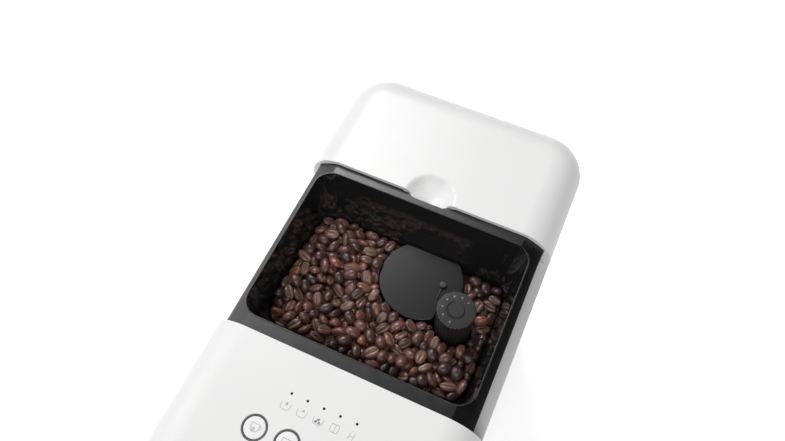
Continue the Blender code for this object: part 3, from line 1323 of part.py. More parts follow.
def shaft_end():
    """Z of the lower end of the burr shaft."""
    bottom = GEAR_TOP - EDGE_ROUND - RING_BURR_HEIGHT
    return bottom + CONE_HEIGHT + SEAT_GAP - BURR_SHAFT_LENGTH


def make_chute():
    """Slanted pipe from the grinder outlet down to the brew group."""
    outlet_z = HOUSING_BOTTOM + HOUSING_WALL + CHUTE_RADIUS
    start = Vector((GRINDER_X, GRINDER_Y - HOUSING_RADIUS - RUN_GAP, outlet_z))
    sides = 16
    loops = []
    for radius in (CHUTE_RADIUS, CHUTE_RADIUS - CHUTE_WALL):
        for share in (0.0, 1.0):
            middle = start + Vector((BREW_X - GRINDER_X, -CHUTE_RUN, -CHUTE_FALL)) * share
            loops.append([(middle.x + x, middle.y, middle.z + z) for x, z in circle((0, 0), radius, sides)])
    outer_start, outer_end, inner_start, inner_end = loops
    shape = bmesh.new()
    rings = [[shape.verts.new(point) for point in loop]
             for loop in (outer_start, outer_end, inner_end, inner_start)]
    for near, far in zip(rings, rings[1:] + rings[:1]):
        for index in range(sides):
            after = (index + 1) % sides
            shape.faces.new((near[index], near[after], far[after], far[index]))
    bmesh.ops.recalc_face_normals(shape, faces=shape.faces)
    chute = from_bmesh("coffee_chute", shape)
    dress(chute, finish("black_chute", (0.03, 0.03, 0.03), 0.5))
    return set_origin(chute, start)


# Chassis

def make_chassis():
    """Inner frame: bulkhead, left wall, tank floor, grinder deck and brew deck."""
    side = HALF_WIDTH - PANEL_WALL - SEAT_GAP
    top = BODY_HEIGHT - CHASSIS_TOP_DROP
    foot = BASE_TOP + SEAT_GAP
    front = SPLASH_FACE + PANEL_WALL + DECK_FRONT_GAP
    wall = CHASSIS_WALL
    chassis = block("chassis", (-side, BULKHEAD_FRONT, foot), (side, BULKHEAD_REAR, top))
    hose_hole = drum("cut_hose_hole", (0, 0), HOSE_RADIUS + RUN_GAP, 0, 2 * wall, sides=SMALL_SIDES)
    hose_hole.rotation_euler = (math.radians(-90), 0, 0)
    hose_hole.location = (PUMP_X, BULKHEAD_FRONT - wall / 2, BASE_TOP + PUMP_HEIGHT)
    cut(chassis, hose_hole)
    join(chassis, block("add_left_wall", (-side, front, foot),
                        (-side + wall, BULKHEAD_REAR - wall / 2, top - wall)))
    floor_corner = REAR_CORNER - wall
    floor_outline = round_rectangle((-TANK_HALF_WIDTH, BULKHEAD_FRONT + wall / 2),
                                    (TANK_HALF_WIDTH, TANK_REAR), (wall, wall, floor_corner, floor_corner))
    seat_hole = circle((VALVE_X, VALVE_Y), SEAT_RADIUS + SEAT_GAP)
    join(chassis, plate("add_tank_floor", floor_outline, TANK_FLOOR - wall, TANK_FLOOR, holes=(seat_hole,)))
    deck_outline = round_rectangle((-side + wall / 2, GRINDER_Y - GRINDER_DECK_HALF),
                                   (GRINDER_X + GRINDER_DECK_HALF, BULKHEAD_FRONT + wall / 2),
                                   (wall, wall, wall, wall))
    motor_hole = circle((GRINDER_X, GRINDER_Y), GRINDER_MOTOR_RADIUS + RUN_GAP, ROUND_SIDES)
    join(chassis, plate("add_grinder_deck", deck_outline, GRINDER_DECK_TOP - wall, GRINDER_DECK_TOP,
                        holes=(motor_hole,)))
    hole = round_rectangle((BREW_X - PUCK_HOLE, BREW_Y - PUCK_HOLE), (BREW_X + PUCK_HOLE, BREW_Y + PUCK_HOLE),
                           (wall, wall, wall, wall))
    brew_outline = round_rectangle((-side + wall / 2, front), (BREW_DECK_RIGHT, BREW_DECK_REAR),
                                   (wall, wall, wall, wall))
    join(chassis, plate("add_brew_deck", brew_outline, BREW_DECK - wall, BREW_DECK, holes=(hole,)))
    web = GRINDER_X + WEB_FROM_GRINDER
    join(chassis, block("add_deck_web", (web - wall, BREW_DECK_REAR - wall, BREW_DECK - wall),
                        (web, BULKHEAD_REAR - wall / 2, GRINDER_DECK_TOP - wall / 2)))
    dress(chassis, finish("grey_chassis_plastic", (0.22, 0.22, 0.22), 0.6))
    return set_origin(chassis, (0, BULKHEAD_FRONT, BASE_TOP))


# Brew group

def make_brew_group():
    """Frame open to both sides, cylinder, piston, spindle and drive motor."""
    centre = (BREW_X, BREW_Y)
    wall = BREW_WALL
    frame = block("brew_frame", (BREW_X - BREW_HALF_WIDTH, BREW_Y - BREW_HALF_DEPTH, BREW_BOTTOM),
                  (BREW_X + BREW_HALF_WIDTH, BREW_Y + BREW_HALF_DEPTH, BREW_TOP))
    reach = BREW_HALF_WIDTH + CUT_OVERRUN
    inside = BREW_HALF_DEPTH - wall
    cut(frame, block("cut_brew_window", (BREW_X - reach, BREW_Y - inside, BREW_BOTTOM + wall),
                     (BREW_X + reach, BREW_Y + inside, BREW_TOP - wall)))
    cut(frame, drum("cut_brew_floor", centre, BREW_FOOT_HOLE, BREW_BOTTOM - CUT_OVERRUN,
                    BREW_BOTTOM + wall + CUT_OVERRUN, sides=SMALL_SIDES))
    cut(frame, drum("cut_brew_top", centre, PISTON_ROD_RADIUS + RUN_GAP, BREW_TOP - wall - CUT_OVERRUN,
                    BREW_TOP + CUT_OVERRUN, sides=SMALL_SIDES))
    spindle_x = BREW_X + SPINDLE_OFFSET_X
    cut(frame, drum("cut_brew_spindle", (spindle_x, BREW_Y), SPINDLE_RADIUS + RUN_GAP,
                    BREW_TOP - wall - CUT_OVERRUN, BREW_TOP + CUT_OVERRUN, sides=SMALL_SIDES))
    dress(frame, finish("black_brew_plastic", (0.04, 0.04, 0.04), 0.5))
    set_origin(frame, (*centre, BREW_BOTTOM))

    cylinder_bottom = BREW_BOTTOM + wall + SEAT_GAP
    outer = BREW_CYLINDER_RADIUS
    profile = [(outer, BREW_CYLINDER_HEIGHT), (outer, 0), (BREW_FOOT_HOLE, 0), (BREW_FOOT_HOLE, wall),
               (BREW_BORE, wall), (BREW_BORE, BREW_CYLINDER_HEIGHT)]
    cylinder = turned("brew_cylinder", (*centre, cylinder_bottom), profile)
    dress(cylinder, finish("grey_brew_cylinder", (0.35, 0.35, 0.36), 0.4), smooth=True)

    piston_bottom = cylinder_bottom + BREW_CYLINDER_HEIGHT + PISTON_LIFT - PISTON_HEIGHT / 2
    piston_radius = BREW_BORE - PISTON_CLEARANCE
    rod_top = BREW_TOP - piston_bottom + wall
    profile = [(0, rod_top), (PISTON_ROD_RADIUS, rod_top), (PISTON_ROD_RADIUS, PISTON_HEIGHT),
               (piston_radius, PISTON_HEIGHT), (piston_radius, 0), (0, 0)]
    piston = turned("brew_piston", (*centre, piston_bottom), profile, SMALL_SIDES * 2)
    arm_low = PISTON_HEIGHT + piston_bottom
    arm = block("add_piston_arm", (BREW_X, BREW_Y - PISTON_ROD_RADIUS, arm_low - wall),
                (spindle_x + PISTON_ROD_RADIUS, BREW_Y + PISTON_ROD_RADIUS, arm_low + wall))
    low_arm = cylinder_bottom + BREW_CYLINDER_HEIGHT + PISTON_STROKE + SEAT_GAP
    arm.location.z = max(arm.location.z, low_arm + wall)
    join(piston, arm)
    cut(piston, drum("cut_piston_nut", (spindle_x, BREW_Y), SPINDLE_RADIUS + SEAT_GAP,
                     BREW_BOTTOM, BREW_TOP, sides=SMALL_SIDES))
    dress(piston, finish("grey_piston", (0.3, 0.3, 0.31), 0.4), smooth=True)

    spindle_bottom = cylinder_bottom + SEAT_GAP
    frame_top = BREW_TOP + SEAT_GAP
    length = frame_top - spindle_bottom
    profile = [(0, length + SPINDLE_COLLAR), (SPINDLE_COLLAR_RADIUS, length + SPINDLE_COLLAR),
               (SPINDLE_COLLAR_RADIUS, length), (SPINDLE_RADIUS, length), (SPINDLE_RADIUS, 0), (0, 0)]
    spindle = turned("brew_spindle", (spindle_x, BREW_Y, spindle_bottom), profile, SMALL_SIDES)
    dress(spindle, finish("spindle_steel", (0.5, 0.5, 0.5), 0.3, metallic=1.0), smooth=True)

    motor_bottom = frame_top + SPINDLE_COLLAR + SEAT_GAP
    motor = drum("brew_motor", (spindle_x, BREW_Y), BREW_MOTOR_RADIUS, motor_bottom,
                 motor_bottom + BREW_MOTOR_HEIGHT, sides=SMALL_SIDES)
    dress(motor, finish("brew_motor_steel", (0.4, 0.4, 0.41), 0.35, metallic=1.0), smooth=True)


# Water side

def make_boiler():
    """Ribbed heater block on the brew deck."""
    left = BOILER_LEFT
    low_y = BREW_Y - BOILER_DEPTH / 2
    boiler = block("boiler", (left, low_y, BREW_DECK + SEAT_GAP),
                   (left + BOILER_WIDTH, low_y + BOILER_DEPTH, BREW_DECK + SEAT_GAP + BOILER_HEIGHT))
    pitch = BOILER_DEPTH / BOILER_FINS
    for index in range(BOILER_FINS - 1):
        y = low_y + pitch * (index + 1) - BOILER_FIN / 2
        top = BREW_DECK + BOILER_HEIGHT + CUT_OVERRUN
        cut(boiler, block("cut_boiler_groove_%d" % index,
                          (left - CUT_OVERRUN, y, top - CUT_OVERRUN - BOILER_FIN),
                          (left + BOILER_WIDTH + CUT_OVERRUN, y + BOILER_FIN, top)))
    dress(boiler, finish("cast_aluminium", (0.6, 0.6, 0.61), 0.45, metallic=1.0))


def pump_ends():
    """Y of the pump's front and rear ends."""
    rear = REAR - PANEL_WALL - PUMP_REAR_GAP
    return rear - PUMP_LENGTH, rear


def make_pump():
    """Vibration pump lying front to back in a rubber cradle."""
    front, rear = pump_ends()
    z = BASE_TOP + PUMP_HEIGHT
    pump = drum("pump", (0, 0), PUMP_NECK_RADIUS, 0, PUMP_LENGTH, sides=SMALL_SIDES)
    pump.rotation_euler = (math.radians(-90), 0, 0)
    pump.location = (PUMP_X, front, z)
    middle = (front + rear) / 2
    half_width = PUMP_COIL_WIDTH / 2
    half_length = PUMP_COIL_LENGTH / 2
    join(pump, block("add_pump_coil", (PUMP_X - half_width, middle - half_length, z - PUMP_RADIUS),
                     (PUMP_X + half_width, middle + half_length, z + PUMP_RADIUS)))
    dress(pump, finish("pump_black", (0.05, 0.05, 0.05), 0.45), smooth=True)
    cradle = block("pump_cradle", (PUMP_X - MOUNT_WIDTH / 2, front, BASE_TOP + SEAT_GAP),
                   (PUMP_X + MOUNT_WIDTH / 2, rear, BASE_TOP + SEAT_GAP + MOUNT_THICK))
    for label, y in (("front", front + PUMP_NECK / 2), ("rear", rear - PUMP_NECK / 2)):
        join(cradle, block("add_mount_" + label,
                           (PUMP_X - MOUNT_WIDTH / 2, y - MOUNT_THICK / 2, BASE_TOP + MOUNT_THICK / 2),
                           (PUMP_X + MOUNT_WIDTH / 2, y + MOUNT_THICK / 2, z + MOUNT_RISE)))
        bore = drum("cut_mount_" + label, (0, 0), PUMP_NECK_RADIUS + SEAT_GAP, 0, 2 * MOUNT_THICK,
                    sides=SMALL_SIDES)
        bore.rotation_euler = (math.radians(-90), 0, 0)
        bore.location = (PUMP_X, y - MOUNT_THICK, z)
        cut(cradle, bore)
    dress(cradle, finish("mount_rubber", (0.02, 0.02, 0.02), 0.8))


def flow_meter_place():
    """Middle of the flow meter in plan."""
    return FLOW_METER_X, REAR - FLOW_METER_REAR_GAP


def make_flow_meter():
    """Small round meter with a nipple on top, on the base plate."""
    x, y = flow_meter_place()
    bottom = BASE_TOP + SEAT_GAP
    profile = [(0, FLOW_METER_HEIGHT + FLOW_NIPPLE), (FLOW_NIPPLE_RADIUS, FLOW_METER_HEIGHT + FLOW_NIPPLE),
               (FLOW_NIPPLE_RADIUS, FLOW_METER_HEIGHT), (FLOW_METER_RADIUS, FLOW_METER_HEIGHT),
               (FLOW_METER_RADIUS, 0), (0, 0)]
    meter = turned("flow_meter", (x, y, bottom), profile, SMALL_SIDES)
    dress(meter, finish("white_flow_meter", (0.7, 0.7, 0.7), 0.4), smooth=True)


def make_hoses():
    """Silicone hoses: tank seat to flow meter, flow meter to pump, pump to boiler."""
    silicone = finish("clear_silicone", (0.6, 0.62, 0.62), 0.4)
    meter_x, meter_y = flow_meter_place()
    meter_top = BASE_TOP + SEAT_GAP + FLOW_METER_HEIGHT + FLOW_NIPPLE + SEAT_GAP
    seat_bottom = TANK_FLOOR - CHASSIS_WALL - SEAT_LENGTH - SEAT_GAP
    bend = 4 * HOSE_RADIUS
    level = (seat_bottom + meter_top) / 2
    tube("hose_tank_to_meter", smooth_route(
        ((VALVE_X, VALVE_Y, seat_bottom), (VALVE_X, VALVE_Y, level), (meter_x, meter_y, level),
         (meter_x, meter_y, meter_top)), bend), HOSE_RADIUS, silicone)
    front, rear = pump_ends()
    z = BASE_TOP + PUMP_HEIGHT
    low = BASE_TOP + SEAT_GAP + FLOW_METER_HEIGHT / 2
    end_y = rear + SEAT_GAP
    turn_y = (rear + REAR - PANEL_WALL) / 2
    tube("hose_meter_to_pump", smooth_route(
        ((meter_x - FLOW_METER_RADIUS - SEAT_GAP - HOSE_RADIUS / 2, meter_y, low),
         (meter_x - 2 * FLOW_METER_RADIUS, meter_y, low), (meter_x - 2 * FLOW_METER_RADIUS, turn_y, low),
         (PUMP_X, turn_y, z), (PUMP_X, end_y, z)), HOSE_RADIUS * 2), HOSE_RADIUS, silicone.copy())
    boiler_x = BOILER_LEFT + BOILER_WIDTH / 2
    boiler_z = BREW_DECK + SEAT_GAP + BOILER_HEIGHT / 2
    boiler_rear = BREW_Y + BOILER_DEPTH / 2 + SEAT_GAP
    lane = (BREW_DECK_REAR + BULKHEAD_FRONT) / 2
    tube("hose_pump_to_boiler", smooth_route(
        ((PUMP_X, front - SEAT_GAP, z), (PUMP_X, lane, z), (boiler_x, lane, boiler_z),
         (boiler_x, boiler_rear, boiler_z)), bend), HOSE_RADIUS, silicone.copy())


def make_tank():
    """Clear water tank with its valve, and the seat in the tank floor."""
    corners = (TANK_FRONT_CORNER, TANK_FRONT_CORNER, TANK_REAR_CORNER, TANK_REAR_CORNER)
    outline = round_rectangle((-TANK_HALF_WIDTH, TANK_FRONT), (TANK_HALF_WIDTH, TANK_REAR), corners)
    tank = plate("water_tank", outline, TANK_BOTTOM, TANK_TOP)
    wall = TANK_WALL
    inner = round_rectangle((-TANK_HALF_WIDTH + wall, TANK_FRONT + wall),
                            (TANK_HALF_WIDTH - wall, TANK_REAR - wall), [radius - wall for radius in corners])
    cut(tank, plate("cut_tank", inner, TANK_BOTTOM + wall, TANK_TOP + CUT_OVERRUN))
    place = (VALVE_X, VALVE_Y)
    cut(tank, drum("cut_tank_valve", place, VALVE_RADIUS + SEAT_GAP, TANK_BOTTOM - CUT_OVERRUN,
                   TANK_BOTTOM + wall + CUT_OVERRUN, sides=SMALL_SIDES))
    dress(tank, finish("clear_tank_plastic", (0.75, 0.8, 0.82), 0.1, alpha=0.35))
    set_origin(tank, (0, TANK_FRONT, TANK_BOTTOM))
    top = wall + SEAT_GAP
    profile = [(VALVE_BORE, top + VALVE_FLANGE + VALVE_RISE), (VALVE_RADIUS, top + VALVE_FLANGE + VALVE_RISE),
               (VALVE_RADIUS, top + VALVE_FLANGE), (VALVE_FLANGE_RADIUS, top + VALVE_FLANGE),
               (VALVE_FLANGE_RADIUS, top), (VALVE_RADIUS, top), (VALVE_RADIUS, 0), (VALVE_BORE, 0)]
    valve = turned("tank_valve", (*place, TANK_BOTTOM), profile, SMALL_SIDES)
    dress(valve, finish("grey_valve", (0.3, 0.3, 0.3), 0.5), smooth=True)
    seat_top = TANK_FLOOR
    depth = CHASSIS_WALL + SEAT_LENGTH
    profile = [(VALVE_BORE, 0), (SEAT_RADIUS, 0), (SEAT_RADIUS, -depth), (VALVE_BORE, -depth)]
    seat = turned("tank_seat", (*place, seat_top), profile, SMALL_SIDES)
    dress(seat, finish("black_tank_seat", (0.03, 0.03, 0.03), 0.6), smooth=True)


# Control panel

def make_control_panel():
    """Four push buttons, their light rings, five lights and the board below."""
    white = finish("white_button", (0.88, 0.88, 0.87), 0.3)
    flange_top = GUIDE_BOTTOM - BUTTON_FLANGE_PLAY
    flange_bottom = flange_top - BUTTON_FLANGE_THICK
    height = BODY_HEIGHT - flange_bottom
    cap = BUTTON_CAP_RADIUS
    profile = [(0, height), (cap - BUTTON_ROUND, height), (cap, height - BUTTON_ROUND),
               (cap, BUTTON_FLANGE_THICK), (BUTTON_FLANGE_RADIUS, BUTTON_FLANGE_THICK),
               (BUTTON_FLANGE_RADIUS, 0), (0, 0)]
    for name, centre in zip(BUTTON_NAMES, button_places()):
        button = turned(name, (*centre, flange_bottom), profile, RING_SIDES)
        dress(button, white.copy(), smooth=True)

    places = button_places()
    reach = places[-1][0] + GUIDE_MARGIN
    outline = round_rectangle((-reach, BUTTON_Y - GUIDE_MARGIN), (reach, BUTTON_Y + GUIDE_MARGIN),
                              (BUTTON_ROUND, BUTTON_ROUND, BUTTON_ROUND, BUTTON_ROUND), 2)
    holes = [circle(centre, RING_INNER, RING_SIDES) for centre in places]
    guide = plate("button_light_guide", outline, GUIDE_BOTTOM, GUIDE_TOP, holes=holes)
    for index, centre in enumerate(places):
        ring = plate("add_light_ring_%d" % index, circle(centre, RING_OUTER, RING_SIDES),
                     GUIDE_BOTTOM + GUIDE_THICK / 2, BODY_HEIGHT,
                     holes=(circle(centre, RING_INNER, RING_SIDES),))
        join(guide, ring)
    dress(guide, finish("grey_light_guide", (0.12, 0.12, 0.12), 0.4))
    set_origin(guide, (0, BUTTON_Y, GUIDE_BOTTOM))

    lights = light_places()
    half = lights[-1][0] + LIGHT_BAR_MARGIN
    bar = block("indicator_light_guide", (-half, LIGHT_Y - LIGHT_BAR_MARGIN / 2, GUIDE_BOTTOM),
                (half, LIGHT_Y + LIGHT_BAR_MARGIN / 2, GUIDE_TOP))
    for index, centre in enumerate(lights):
        join(bar, drum("add_light_%d" % index, centre, LIGHT_RADIUS, GUIDE_BOTTOM + GUIDE_THICK / 2,
                       BODY_HEIGHT, sides=12))
    dress(bar, finish("dark_light_pipe", (0.01, 0.01, 0.01), 0.3))
    set_origin(bar, (0, LIGHT_Y, GUIDE_BOTTOM))
    make_panel_board(flange_bottom)


def make_panel_board(button_bottom):
    """Circuit board with one switch under each button, held up to the cover by four posts."""
    front = BUTTON_Y - GUIDE_MARGIN - STANDOFF_RADIUS
    rear = front + PANEL_BOARD_DEPTH
    top = button_bottom - BUTTON_TRAVEL - SEAT_GAP - SWITCH_HEIGHT
    half = PANEL_BOARD_WIDTH / 2
    board = block("panel_board", (-half, front, top - BOARD_THICK), (half, rear, top))
    for index, (x, y) in enumerate(button_places()):
        join(board, drum("add_switch_%d" % index, (x, y), SWITCH_RADIUS, top - BOARD_THICK / 2,
                         top + SWITCH_HEIGHT, sides=12))
    posts = [(side * (half - STANDOFF_RADIUS), y) for side in (-1, 1)
             for y in (front + STANDOFF_RADIUS, rear - STANDOFF_RADIUS)]
    for index, place in enumerate(posts):
        join(board, drum("add_board_post_%d" % index, place, STANDOFF_RADIUS, top - BOARD_THICK / 2,
                         COVER_INSIDE - SEAT_GAP, sides=12))
    dress(board, finish("green_panel_board", (0.02, 0.16, 0.07), 0.5))
    set_origin(board, (0, BUTTON_Y, top))


def make_control_board():
    """Power board on standoffs on the rear of the bulkhead."""
    half = CONTROL_BOARD_WIDTH / 2
    front = BULKHEAD_REAR + SEAT_GAP + BOARD_STANDOFF
    low = CONTROL_BOARD_Z
    board = block("control_board", (CONTROL_BOARD_X - half, front, low),
                  (CONTROL_BOARD_X + half, front + BOARD_THICK, low + CONTROL_BOARD_HEIGHT))
    index = 0
    for side_x in (-1, 1):
        for side_z in (0, 1):
            x = CONTROL_BOARD_X + side_x * (half - STANDOFF_RADIUS * 2)
            z = low + STANDOFF_RADIUS * 2 + side_z * (CONTROL_BOARD_HEIGHT - STANDOFF_RADIUS * 4)
            post = drum("add_standoff_%d" % index, (0, 0), STANDOFF_RADIUS, 0,
                        BOARD_STANDOFF + BOARD_THICK / 2, sides=12)
            post.rotation_euler = (math.radians(-90), 0, 0)
            post.location = (x, BULKHEAD_REAR + SEAT_GAP, z)
            join(board, post)
            index += 1
    for number in range(3):
        x = CONTROL_BOARD_X + (number - 1) * RELAY_SIZE * 3 / 2
        join(board, block("add_relay_%d" % number,
                          (x - RELAY_SIZE / 2, front + BOARD_THICK / 2, low + RELAY_SIZE),
                          (x + RELAY_SIZE / 2, front + BOARD_THICK + RELAY_SIZE, low + RELAY_SIZE * 2)))
    dress(board, finish("green_control_board", (0.02, 0.16, 0.07), 0.5))
    set_origin(board, (CONTROL_BOARD_X, front, low))


# Spout

def spout_top():
    """Z of the spout carriage's top at rest."""
    return CURVE_Z - SPOUT_CORNER / 2


def spout_back():
    """Y of the spout carriage's rear face."""
    return FASCIA_FACE + SPOUT_BACK_DEPTH


def make_spout():
    """Carriage with two nozzles, hung on a slider that runs in a guide inside the head."""
    half = SPOUT_HALF_WIDTH
    bottom = HEAD_BOTTOM - SPOUT_BELOW_HEAD
    front = FASCIA_FACE - SPOUT_PROUD
    back = spout_back()
    outline = round_rectangle((-half, front), (half, back),
                              (SPOUT_CORNER, SPOUT_CORNER, EDGE_ROUND, EDGE_ROUND))
    carriage = plate("spout_carriage", outline, bottom, spout_top() - SPOUT_WINDOW_GAP)
    bevel(carriage, EDGE_ROUND, 1)
    slider_top = bottom + SPOUT_SLIDER_HEIGHT
    slider_front = back + SPOUT_NECK_DEPTH
    slider_middle = slider_front + SPOUT_SLIDER_THICK / 2
    join(carriage, block("add_neck", (-SPOUT_NECK_HALF, back - EDGE_ROUND * 2, bottom + EDGE_ROUND),
                         (SPOUT_NECK_HALF, slider_middle, spout_top() - SPOUT_CORNER)))
    join(carriage, block("add_slider", (-SPOUT_SLIDER_HALF, slider_front, bottom + EDGE_ROUND),
                         (SPOUT_SLIDER_HALF, slider_front + SPOUT_SLIDER_THICK, slider_top)))
    nozzle_y = front + NOZZLE_SETBACK
    for side, label in ((-1, "left"), (1, "right")):
        x = side * NOZZLE_HALF_PITCH
        cut(carriage, drum("cut_socket_" + label, (x, nozzle_y), NOZZLE_RADIUS + SEAT_GAP,
                           bottom - CUT_OVERRUN, bottom + NOZZLE_SOCKET, sides=SMALL_SIDES))
    dress(carriage, finish("black_gloss_spout", (0.015, 0.015, 0.016), 0.15), smooth=True)
    set_origin(carriage, (0, back, bottom))

    steel = finish("nozzle_steel", (0.6, 0.6, 0.6), 0.2, metallic=1.0)
    top = bottom + NOZZLE_SOCKET - SEAT_GAP
    bore = NOZZLE_RADIUS - NOZZLE_WALL
    profile = [(NOZZLE_RADIUS, 0), (NOZZLE_RADIUS, -NOZZLE_LENGTH), (bore, -NOZZLE_LENGTH), (bore, 0)]
    for side, label in ((-1, "left"), (1, "right")):
        place = (side * NOZZLE_HALF_PITCH, nozzle_y, top)
        nozzle = turned("spout_nozzle_" + label, place, profile, SMALL_SIDES)
        dress(nozzle, steel.copy(), smooth=True)

    rear = slider_front + SPOUT_SLIDER_THICK + RUN_GAP
    side_in = SPOUT_SLIDER_HALF + RUN_GAP
    side_out = side_in + SPOUT_GUIDE_WALL
    mouth = SPOUT_NECK_HALF + RUN_GAP
    right = [(side_out, rear + SPOUT_GUIDE_WALL), (side_out, back + RUN_GAP), (mouth, back + RUN_GAP),
             (mouth, slider_front - RUN_GAP), (side_in, slider_front - RUN_GAP), (side_in, rear)]
    outline = right + [(-x, y) for x, y in reversed(right)]
    low = HEAD_BOTTOM + PANEL_WALL + SEAT_GAP
    guide = plate("spout_guide", outline, low, low + SPOUT_GUIDE_HEIGHT)
    dress(guide, finish("grey_spout_guide", (0.25, 0.25, 0.25), 0.5))
    set_origin(guide, (0, rear, low))


# Drip tray, grille, float and grounds container

def tray_plan(inset, rear_inset):
    """Plan of the tray: wide in front of the splash panel, narrow behind it."""
    half = TRAY_HALF_WIDTH - inset
    front = FRONT + inset
    corner = TRAY_CORNER - inset
    step = TRAY_BACK - inset
    narrow = TRAY_REAR_HALF_WIDTH - inset
    back = TRAY_BACK + TRAY_REAR_REACH - rear_inset
    right = arc((half - corner, front + corner), corner, 270, 360)
    right += [(half, step), (narrow, step), (narrow, back)]
    return right + [(-x, y) for x, y in reversed(right)]


def make_tray():
    """Pull-out tray whose narrow rear part carries the grounds container."""
    tray = plate("drip_tray", tray_plan(0, 0), TRAY_BOTTOM, TRAY_TOP)
    cut(tray, plate("cut_tray", tray_plan(TRAY_WALL, TRAY_WALL), TRAY_BOTTOM + TRAY_FLOOR,
                    TRAY_TOP + CUT_OVERRUN))
    rear_top = TRAY_BOTTOM + TRAY_REAR_HEIGHT
    cut(tray, block("cut_tray_rear", (-TRAY_HALF_WIDTH, TRAY_BACK + RUN_GAP, rear_top),
                    (TRAY_HALF_WIDTH, TRAY_BACK + TRAY_REAR_REACH + CUT_OVERRUN, TRAY_TOP + CUT_OVERRUN)))
    dress(tray, finish("black_satin_tray", (0.02, 0.02, 0.021), 0.35), smooth=True)
    return set_origin(tray, (0, FRONT, TRAY_BOTTOM))


def float_place():
    return 0, TRAY_BACK - FLOAT_Y_FROM_SPLASH


def slot_outline(x, y, half_length):
    """A slot along X with round ends."""
    radius = SLOT_WIDTH / 2
    right = arc((x + half_length - radius, y), radius, -90, 90, 3)
    return right + arc((x - half_length + radius, y), radius, 90, 270, 3)


def make_grille():
    """Slotted plate that lies on the tray's rim."""
    half = TRAY_HALF_WIDTH - GRILLE_INSET
    corner = TRAY_CORNER - GRILLE_INSET
    front = FRONT + GRILLE_INSET
    back = TRAY_BACK - GRILLE_INSET
    outline = round_rectangle((-half, front), (half, back), (corner, corner, GRILLE_INSET, GRILLE_INSET))
    float_x, float_y = float_place()
    holes = [circle((float_x, float_y), FLOAT_STEM_RADIUS + FLOAT_STEM_CLEARANCE)]
    middle = (SLOT_LENGTH + SLOT_GAP) / 2
    for row in range(SLOT_ROWS):
        y = front + SLOT_FRONT_MARGIN + row * SLOT_PITCH
        for side in (-1, 1):
            holes.append(slot_outline(side * middle, y, SLOT_LENGTH / 2))
    bottom = TRAY_TOP + SEAT_GAP
    grille = plate("drip_grille", outline, bottom, bottom + GRILLE_THICK, holes=holes)
    dress(grille, finish("brushed_grille_steel", (0.55, 0.55, 0.56), 0.3, metallic=1.0))
    return set_origin(grille, (0, front, bottom))


def make_float():
    """Red float whose stem shows through the grille when the tray is full."""
    bottom = TRAY_BOTTOM + TRAY_FLOOR + SEAT_GAP
    top = TRAY_TOP + SEAT_GAP + GRILLE_THICK - FLOAT_RIM_PROUD / 2
    height = top - bottom
    profile = [(0, height), (FLOAT_STEM_RADIUS, height), (FLOAT_STEM_RADIUS, FLOAT_HEIGHT),
               (FLOAT_RADIUS, FLOAT_HEIGHT), (FLOAT_RADIUS, 0), (0, 0)]
    made = turned("tray_float", (*float_place(), bottom), profile, SMALL_SIDES)
    return dress(made, finish("red_float", (0.6, 0.03, 0.02), 0.4), smooth=True)


def make_grounds_container():
    """Open bin that stands in the tray; its front plate closes the splash panel's opening."""
    half = BIN_HALF_WIDTH
    front = SPLASH_FACE
    back = TRAY_BACK + TRAY_REAR_REACH - TRAY_WALL - RUN_GAP
    bottom = TRAY_BOTTOM + TRAY_FLOOR + SEAT_GAP
    corners = (BIN_WALL * 2, BIN_WALL * 2, BIN_CORNER, BIN_CORNER)
    outline = round_rectangle((-half, front), (half, back), corners, 4)
    bin_body = plate("grounds_container", outline, bottom, BIN_TOP)
    wall = BIN_WALL
    inner = round_rectangle((-half + wall, front + PANEL_WALL), (half - wall, back - wall),
                            [corner - wall for corner in corners], 4)
    join(bin_body, block("add_bin_front", (-BIN_FRONT_HALF_WIDTH, front, BIN_FRONT_BOTTOM),
                         (BIN_FRONT_HALF_WIDTH, front + PANEL_WALL, BIN_FRONT_TOP)))
    cut(bin_body, plate("cut_bin", inner, bottom + wall, BIN_TOP + CUT_OVERRUN))
    grip_top = BIN_FRONT_TOP - BIN_GRIP_DROP
    grip = round_rectangle((-BIN_GRIP_WIDTH / 2, grip_top - BIN_GRIP_HEIGHT), (BIN_GRIP_WIDTH / 2, grip_top),
                           [BIN_GRIP_HEIGHT / 3] * 4)
    cut(bin_body, plate("cut_bin_grip", grip, front - CUT_OVERRUN, front + BIN_GRIP_DEPTH, "Y"))
    dress(bin_body, finish("black_bin_plastic", (0.03, 0.03, 0.031), 0.4))
    return set_origin(bin_body, (0, front, bottom))


def build():
    empty_scene()
    make_base()
    make_side_panels()
    make_service_door()
    make_back_panel()
    make_power_inlet()
    make_front_cover()
    make_fascia()
    make_head_underside()
    make_splash_panel()
    make_chassis()
    make_rear_cover()
    make_hopper()
    make_beans()
    make_grinder_cover()
    make_grind_knob()
    make_knob_pinion()
    make_adjust_ring()
    make_burrs()
    make_grinder_housing()
    make_grinder_gearmotor()
    make_chute()
    make_brew_group()
    make_boiler()
    make_pump()
    make_flow_meter()
    make_hoses()
    make_tank()
    make_control_panel()
    make_control_board()
    make_spout()
    make_tray()
    make_grille()
    make_float()
    make_grounds_container()


build()
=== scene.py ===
"""Looks of the narrow bean to cup coffee machine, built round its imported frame.

Metres, +Z up, the front faces -Y. Every piece takes its place from the frame's own boxes.
"""

import json
import math

import bmesh
import bpy
import numpy as np
from mathutils import Matrix, Vector


